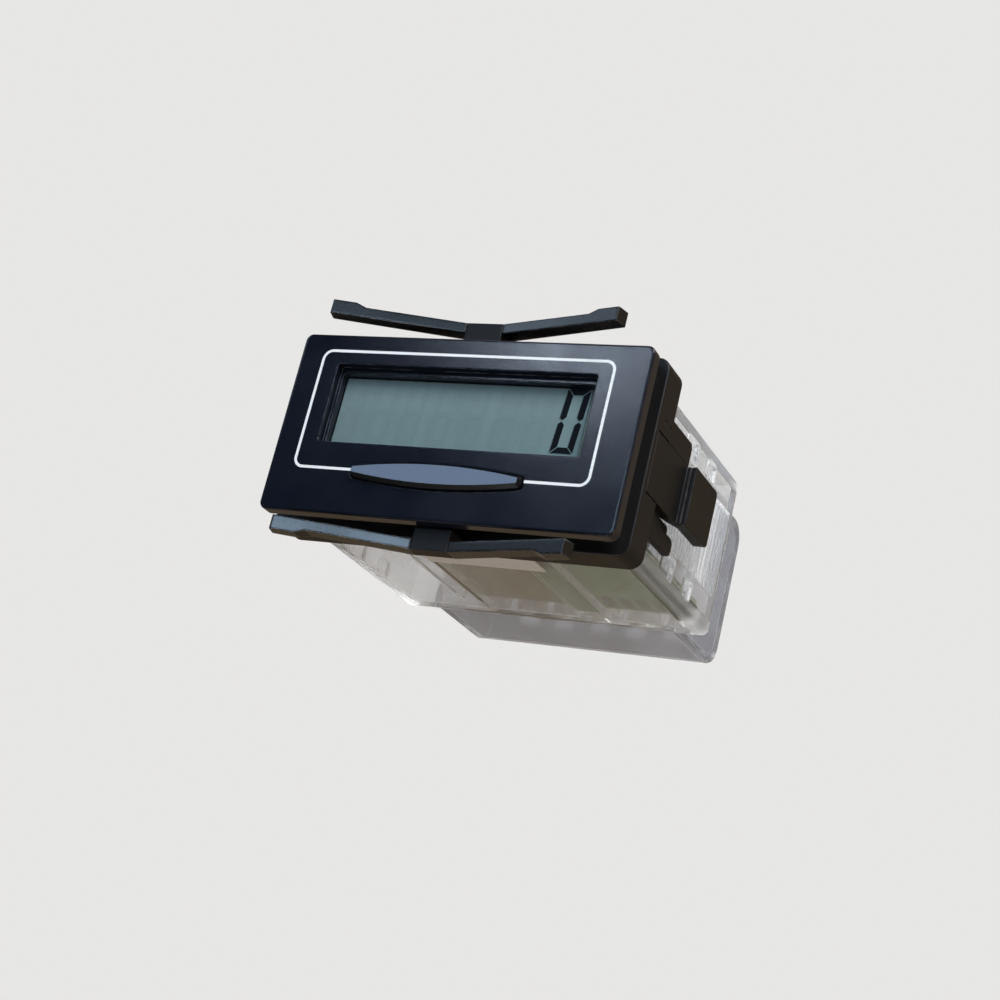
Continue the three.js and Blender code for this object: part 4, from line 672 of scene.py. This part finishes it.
def dress_nodes():
    """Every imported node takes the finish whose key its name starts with, the longest if several."""
    bezel = moulded_black(
        "bezel_plastic", BEZEL_BLACK, BEZEL_EDGE_WEAR_AND_HIGHLIGHT,
        roughness=0.17, grain_scale=7000.0, grain_depth=0.006,
    )
    arms = moulded_black(
        "arm_plastic", ARM_BLACK, ARM_EDGE_WEAR_AND_HIGHLIGHT,
        roughness=0.25, grain_scale=7000.0, grain_depth=0.002, edge=0.3,
    )
    clip = moulded_black(
        "clip_plastic", CLIP_BLACK, CLIP_EDGE_WEAR_AND_HIGHLIGHT,
        roughness=0.48, grain_scale=7000.0, grain_depth=0.004, shine=0.34,
    )
    clear = clear_plastic("clear_plastic", HOUSING_CLEAR, haze=0.075, roughness=0.04)
    cover = clear_plastic("clear_cover_plastic", COVER_CLEAR, haze=0.16, roughness=0.08)
    glass = display_glass()
    steel = metal("component_steel", COMPONENT_STEEL, roughness=0.22, grain_stretch=ALONG_Z)
    screw = metal("screw_steel", SCREW_STEEL, roughness=0.25)
    nickel = metal("nickel", NICKEL, roughness=0.24, grain_stretch=ALONG_Z)
    board = green_board()
    black = black_component()
    white = white_plastic()
    finishes = {
        "front_bezel": bezel,
        "panel_gasket": gasket_rubber(),
        "display_polariser": display_film(),
        "lcd_front_glass": glass,
        "lcd_rear_glass": glass,
        "lcd_reflector": plain_print("reflecting_film", REFLECTOR_GREEN, roughness=0.5),
        "lcd_holder": white,
        "zebra_strip": zebra_rubber(),
        "reset_switch": black,
        "reset_button": key_plastic(),
        "switch_plunger": white,
        "display_board": board,
        "main_board": board,
        "board_connector": black,
        "counter_chip": black,
        "crystal": steel,
        "capacitor": steel,
        "lithium_cell": cell_can(),
        "cell_tab": nickel,
        "rear_housing": clear,
        "rating_label": label_film(),
        "terminal_block": clear,
        "terminal_cover": cover,
        "terminal_plate": nickel,
        "terminal_screw": screw,
        "mounting_clip": clip,
        "spring_arm": arms,
        "release_lever": clip,
    }
    for name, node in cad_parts.items():
        kind = max((key for key in finishes if name.startswith(key)), key=len)
        node.data.materials.clear()
        node.data.materials.append(finishes[kind])


# Added pieces

def add_piece(name, fill_mesh, material, body):
    """A new mesh, filled by a function, that rides on a body."""
    made = bmesh.new()
    fill_mesh(made)
    bmesh.ops.recalc_face_normals(made, faces=made.faces)
    mesh = bpy.data.meshes.new(name)
    made.to_mesh(mesh)
    made.free()
    mesh.materials.append(material)
    piece = bpy.data.objects.new(name, mesh)
    bpy.context.scene.collection.objects.link(piece)
    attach(piece, body)


def prism(made, outline, near, far, to_space):
    """An outline in millimetres given depth from near to far, which are in metres.

    to_space turns a point of the outline and a depth into x, y and z.
    """
    rings = [
        [made.verts.new(to_space(first * MM, second * MM, depth)) for first, second in outline]
        for depth in (near, far)
    ]
    made.faces.new(rings[0])
    made.faces.new(rings[1][::-1])
    for i in range(len(outline)):
        j = (i + 1) % len(outline)
        made.faces.new((rings[0][i], rings[1][i], rings[1][j], rings[0][j]))


def upright(x, z, depth):
    """An outline in x and z, its depth along y."""
    return (x, depth, z)


def lying(x, y, depth):
    """An outline in x and y, its depth along z."""
    return (x, y, depth)


def rounded_corner(centre_x, centre_z, radius, start):
    """Points of a quarter circle, clockwise seen from the front."""
    points = []
    for step in range(LINE_CORNER_STEPS + 1):
        angle = math.radians(start - 90 * step / LINE_CORNER_STEPS)
        x, z = centre_x + radius * math.cos(angle), centre_z + radius * math.sin(angle)
        points.append((x, z))
    return points


def line_side(offset):
    """One side of the printed line, from the key's left end round the window to its right end."""
    radius = LINE_CORNER_RADIUS + offset
    left, right = LINE_LEFT + LINE_CORNER_RADIUS, LINE_RIGHT - LINE_CORNER_RADIUS
    bottom, top = LINE_BOTTOM + LINE_CORNER_RADIUS, LINE_TOP - LINE_CORNER_RADIUS
    return [
        (KEY_LEFT - LINE_KEY_GAP, LINE_BOTTOM - offset),
        *rounded_corner(left, bottom, radius, 270),
        *rounded_corner(left, top, radius, 180),
        *rounded_corner(right, top, radius, 90),
        *rounded_corner(right, bottom, radius, 0),
        (KEY_RIGHT + LINE_KEY_GAP, LINE_BOTTOM - offset),
    ]


def white_line():
    """The printed line, raised a little from the bezel's face."""
    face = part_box("front_bezel")[0].y

    def fill(made):
        outline = line_side(LINE_WIDTH / 2) + line_side(-LINE_WIDTH / 2)[::-1]
        prism(made, outline, face - LINE_THICKNESS * MM, face, upright)

    ink = plain_print("white_ink", INK_WHITE, roughness=0.5)
    add_piece("printed_line", fill, ink, "case")


def segments():
    """The seven segments of a digit by name, as outlines from its lower left corner."""
    w, h, t, g = DIGIT_WIDTH, DIGIT_HEIGHT, SEGMENT_WIDTH, SEGMENT_GAP
    half = h / 2
    top = [(g, h), (w - g, h), (w - t - g, h - t), (t + g, h - t)]
    middle = [
        (t / 2 + g, half),
        (t + g, half + t / 2),
        (w - t - g, half + t / 2),
        (w - t / 2 - g, half),
        (w - t - g, half - t / 2),
        (t + g, half - t / 2),
    ]
    upper_left = [
        (0, h - g),
        (t, h - t - g),
        (t, half + t / 2 + g),
        (t / 2, half + g),
        (0, half + t / 3 + g),
    ]
    return {
        "top": top,
        "middle": middle,
        "upper_left": upper_left,
        "upper_right": [(w - x, z) for x, z in upper_left],
        "lower_left": [(x, h - z) for x, z in upper_left],
        "lower_right": [(w - x, h - z) for x, z in upper_left],
        "bottom": [(x, h - z) for x, z in top],
    }


def digit_outline(points, place, shift_x=0.0, shift_z=0.0):
    """A segment's outline, slanted and moved to its place, counted from the last one."""
    left = DIGIT_LAST_LEFT - place * DIGIT_PITCH + shift_x
    return [
        (left + x + z * math.tan(DIGIT_SLANT), DIGIT_BOTTOM + z + shift_z) for x, z in points
    ]


def display_digits():
    """A lit nought in the last place, its soft shadow, and the idle segments of all places."""
    shapes = segments()
    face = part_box("display_polariser")[0].y
    step = SEGMENT_THICKNESS * MM

    def fill_idle(made):
        for place in range(DIGIT_COUNT):
            for name, points in shapes.items():
                if place or name == "middle":
                    prism(made, digit_outline(points, place), face - step, face, upright)

    def fill_nought(made, layers, shift_x=0.0, shift_z=0.0):
        for name, points in shapes.items():
            if name != "middle":
                outline = digit_outline(points, 0, shift_x, shift_z)
                prism(made, outline, face - layers * step, face, upright)

    def fill_shadow(made):
        fill_nought(made, 2, SHADOW_SHIFT_X, SHADOW_SHIFT_Z)

    def fill_lit(made):
        fill_nought(made, 3)

    idle = plain_print("idle_crystal", IDLE_SEGMENT, roughness=0.42, shine=0.35)
    shadow = plain_print("crystal_shadow", DIGIT_SHADOW, roughness=0.42)
    lit = plain_print("dark_crystal", DIGIT_DARK, roughness=0.35, shine=0.04)
    add_piece("idle_segments", fill_idle, idle, "case")
    add_piece("digit_shadow", fill_shadow, shadow, "case")
    add_piece("lit_digit", fill_lit, lit, "case")


def board_marks():
    """Wide solder pads on the underside of the main board, near its back edge."""
    low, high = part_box("main_board")
    back = high.y / MM - PAD_FROM_BACK + PAD_LENGTH
    front = back - PAD_LENGTH

    def fill(made):
        for i in range(PAD_COUNT):
            left = PAD_FIRST_X + i * PAD_PITCH
            right = left + PAD_WIDTH
            corners = [(left, front), (right, front), (right, back), (left, back)]
            prism(made, corners, low.z - PAD_THICKNESS * MM, low.z, lying)

    pads = plain_print("dark_pads", PAD_DARK, roughness=0.4, shine=0.0)
    add_piece("solder_pads", fill, pads, "case")


# Studio

def place_camera():
    """The photograph's viewing angle."""
    data = bpy.data.cameras.new("camera")
    data.lens = CAMERA_LENS
    data.clip_start = CAMERA_NEAR * MM
    data.clip_end = CAMERA_FAR * MM
    camera = bpy.data.objects.new("camera", data)
    look = Vector(CAMERA_LOOK).normalized()
    right = look.cross(Vector(CAMERA_UP)).normalized()
    up = right.cross(look)
    turn = Matrix((right, up, -look)).transposed().to_4x4()
    camera.matrix_world = Matrix.Translation(Vector(CAMERA_PLACE) * MM) @ turn
    bpy.context.scene.collection.objects.link(camera)
    bpy.context.scene.camera = camera


def place_lamps(centre):
    """Round area lamps that look at the object's centre."""
    for name, (direction, width, watts, tint) in LAMPS.items():
        data = bpy.data.lights.new(name, "AREA")
        data.shape = "DISK"
        data.size = width * MM
        data.energy = watts
        data.color = tint
        lamp = bpy.data.objects.new(name, data)
        towards = Vector(direction).normalized()
        lamp.location = centre + towards * LAMP_DISTANCE * MM
        lamp.rotation_mode = "QUATERNION"
        lamp.rotation_quaternion = towards.to_track_quat("Z", "Y")
        bpy.context.scene.collection.objects.link(lamp)


def paint_room():
    """A pale background for the camera and through glass; a room darker in front for the rest."""
    world = bpy.data.worlds.new("room")
    world.use_nodes = True
    bpy.context.scene.world = world
    tree = Tree(world.node_tree)
    tree.tree.nodes.clear()
    direction = tree.node("ShaderNodeTexCoord").outputs["Generated"]
    facing = tree.vector_math("DOT_PRODUCT", direction, ROOM_DARKEST)["Value"]
    lighter = tree.ramp(facing, ROOM_DARK_UNTIL, ROOM_LIGHT_FROM)
    room_colour = tree.blend(lighter, ROOM_FRONT, ROOM_BACK)
    room = tree.node("ShaderNodeBackground", Color=room_colour).outputs[0]
    pale = tree.node("ShaderNodeBackground", Color=colour(PALE)).outputs[0]
    rays = tree.node("ShaderNodeLightPath").outputs
    seen = tree.math("MAXIMUM", rays["Is Camera Ray"], rays["Is Transmission Ray"])
    output = tree.node("ShaderNodeOutputWorld")
    tree.feed(output.inputs["Surface"], tree.mix_shaders(seen, room, pale))


def floor_paint(middle):
    """Pale paint that fades out with distance from the middle and from below."""
    finish = Finish("floor_paint", Base_Color=FLOOR_TONE, Roughness=0.8, Specular_IOR_Level=0.2)
    away = finish.vector_math("DISTANCE", finish.position(), middle)["Value"]
    faded = finish.ramp(away, FLOOR_FADE_FROM * MM, FLOOR_FADE_TO * MM)
    below = finish.node("ShaderNodeNewGeometry").outputs["Backfacing"]
    finish.mix_with_clear(finish.math("MAXIMUM", faded, below))
    return finish.material


def lay_floor(box):
    """A pale floor under the object, seen from above only, that fades into the background."""
    low, high = box
    centre = (low + high) / 2
    reach = FLOOR_REACH * MM
    mesh = bpy.data.meshes.new("floor")
    corners = [(-reach, -reach), (reach, -reach), (reach, reach), (-reach, reach)]
    points = [(centre.x + x, centre.y + y, low.z) for x, y in corners]
    mesh.from_pydata(points, [], [(0, 1, 2, 3)])
    mesh.materials.append(floor_paint((centre.x, centre.y, low.z)))
    floor = bpy.data.objects.new("floor", mesh)
    bpy.context.scene.collection.objects.link(floor)
    for rays in ("diffuse", "glossy", "shadow"):
        setattr(floor, f"visible_{rays}", False)


dress_nodes()
white_line()
display_digits()
board_marks()
place_camera()
place_lamps((cad_box[0] + cad_box[1]) / 2)
paint_room()
lay_floor(cad_box)
bpy.context.scene.view_settings.view_transform = "Standard"
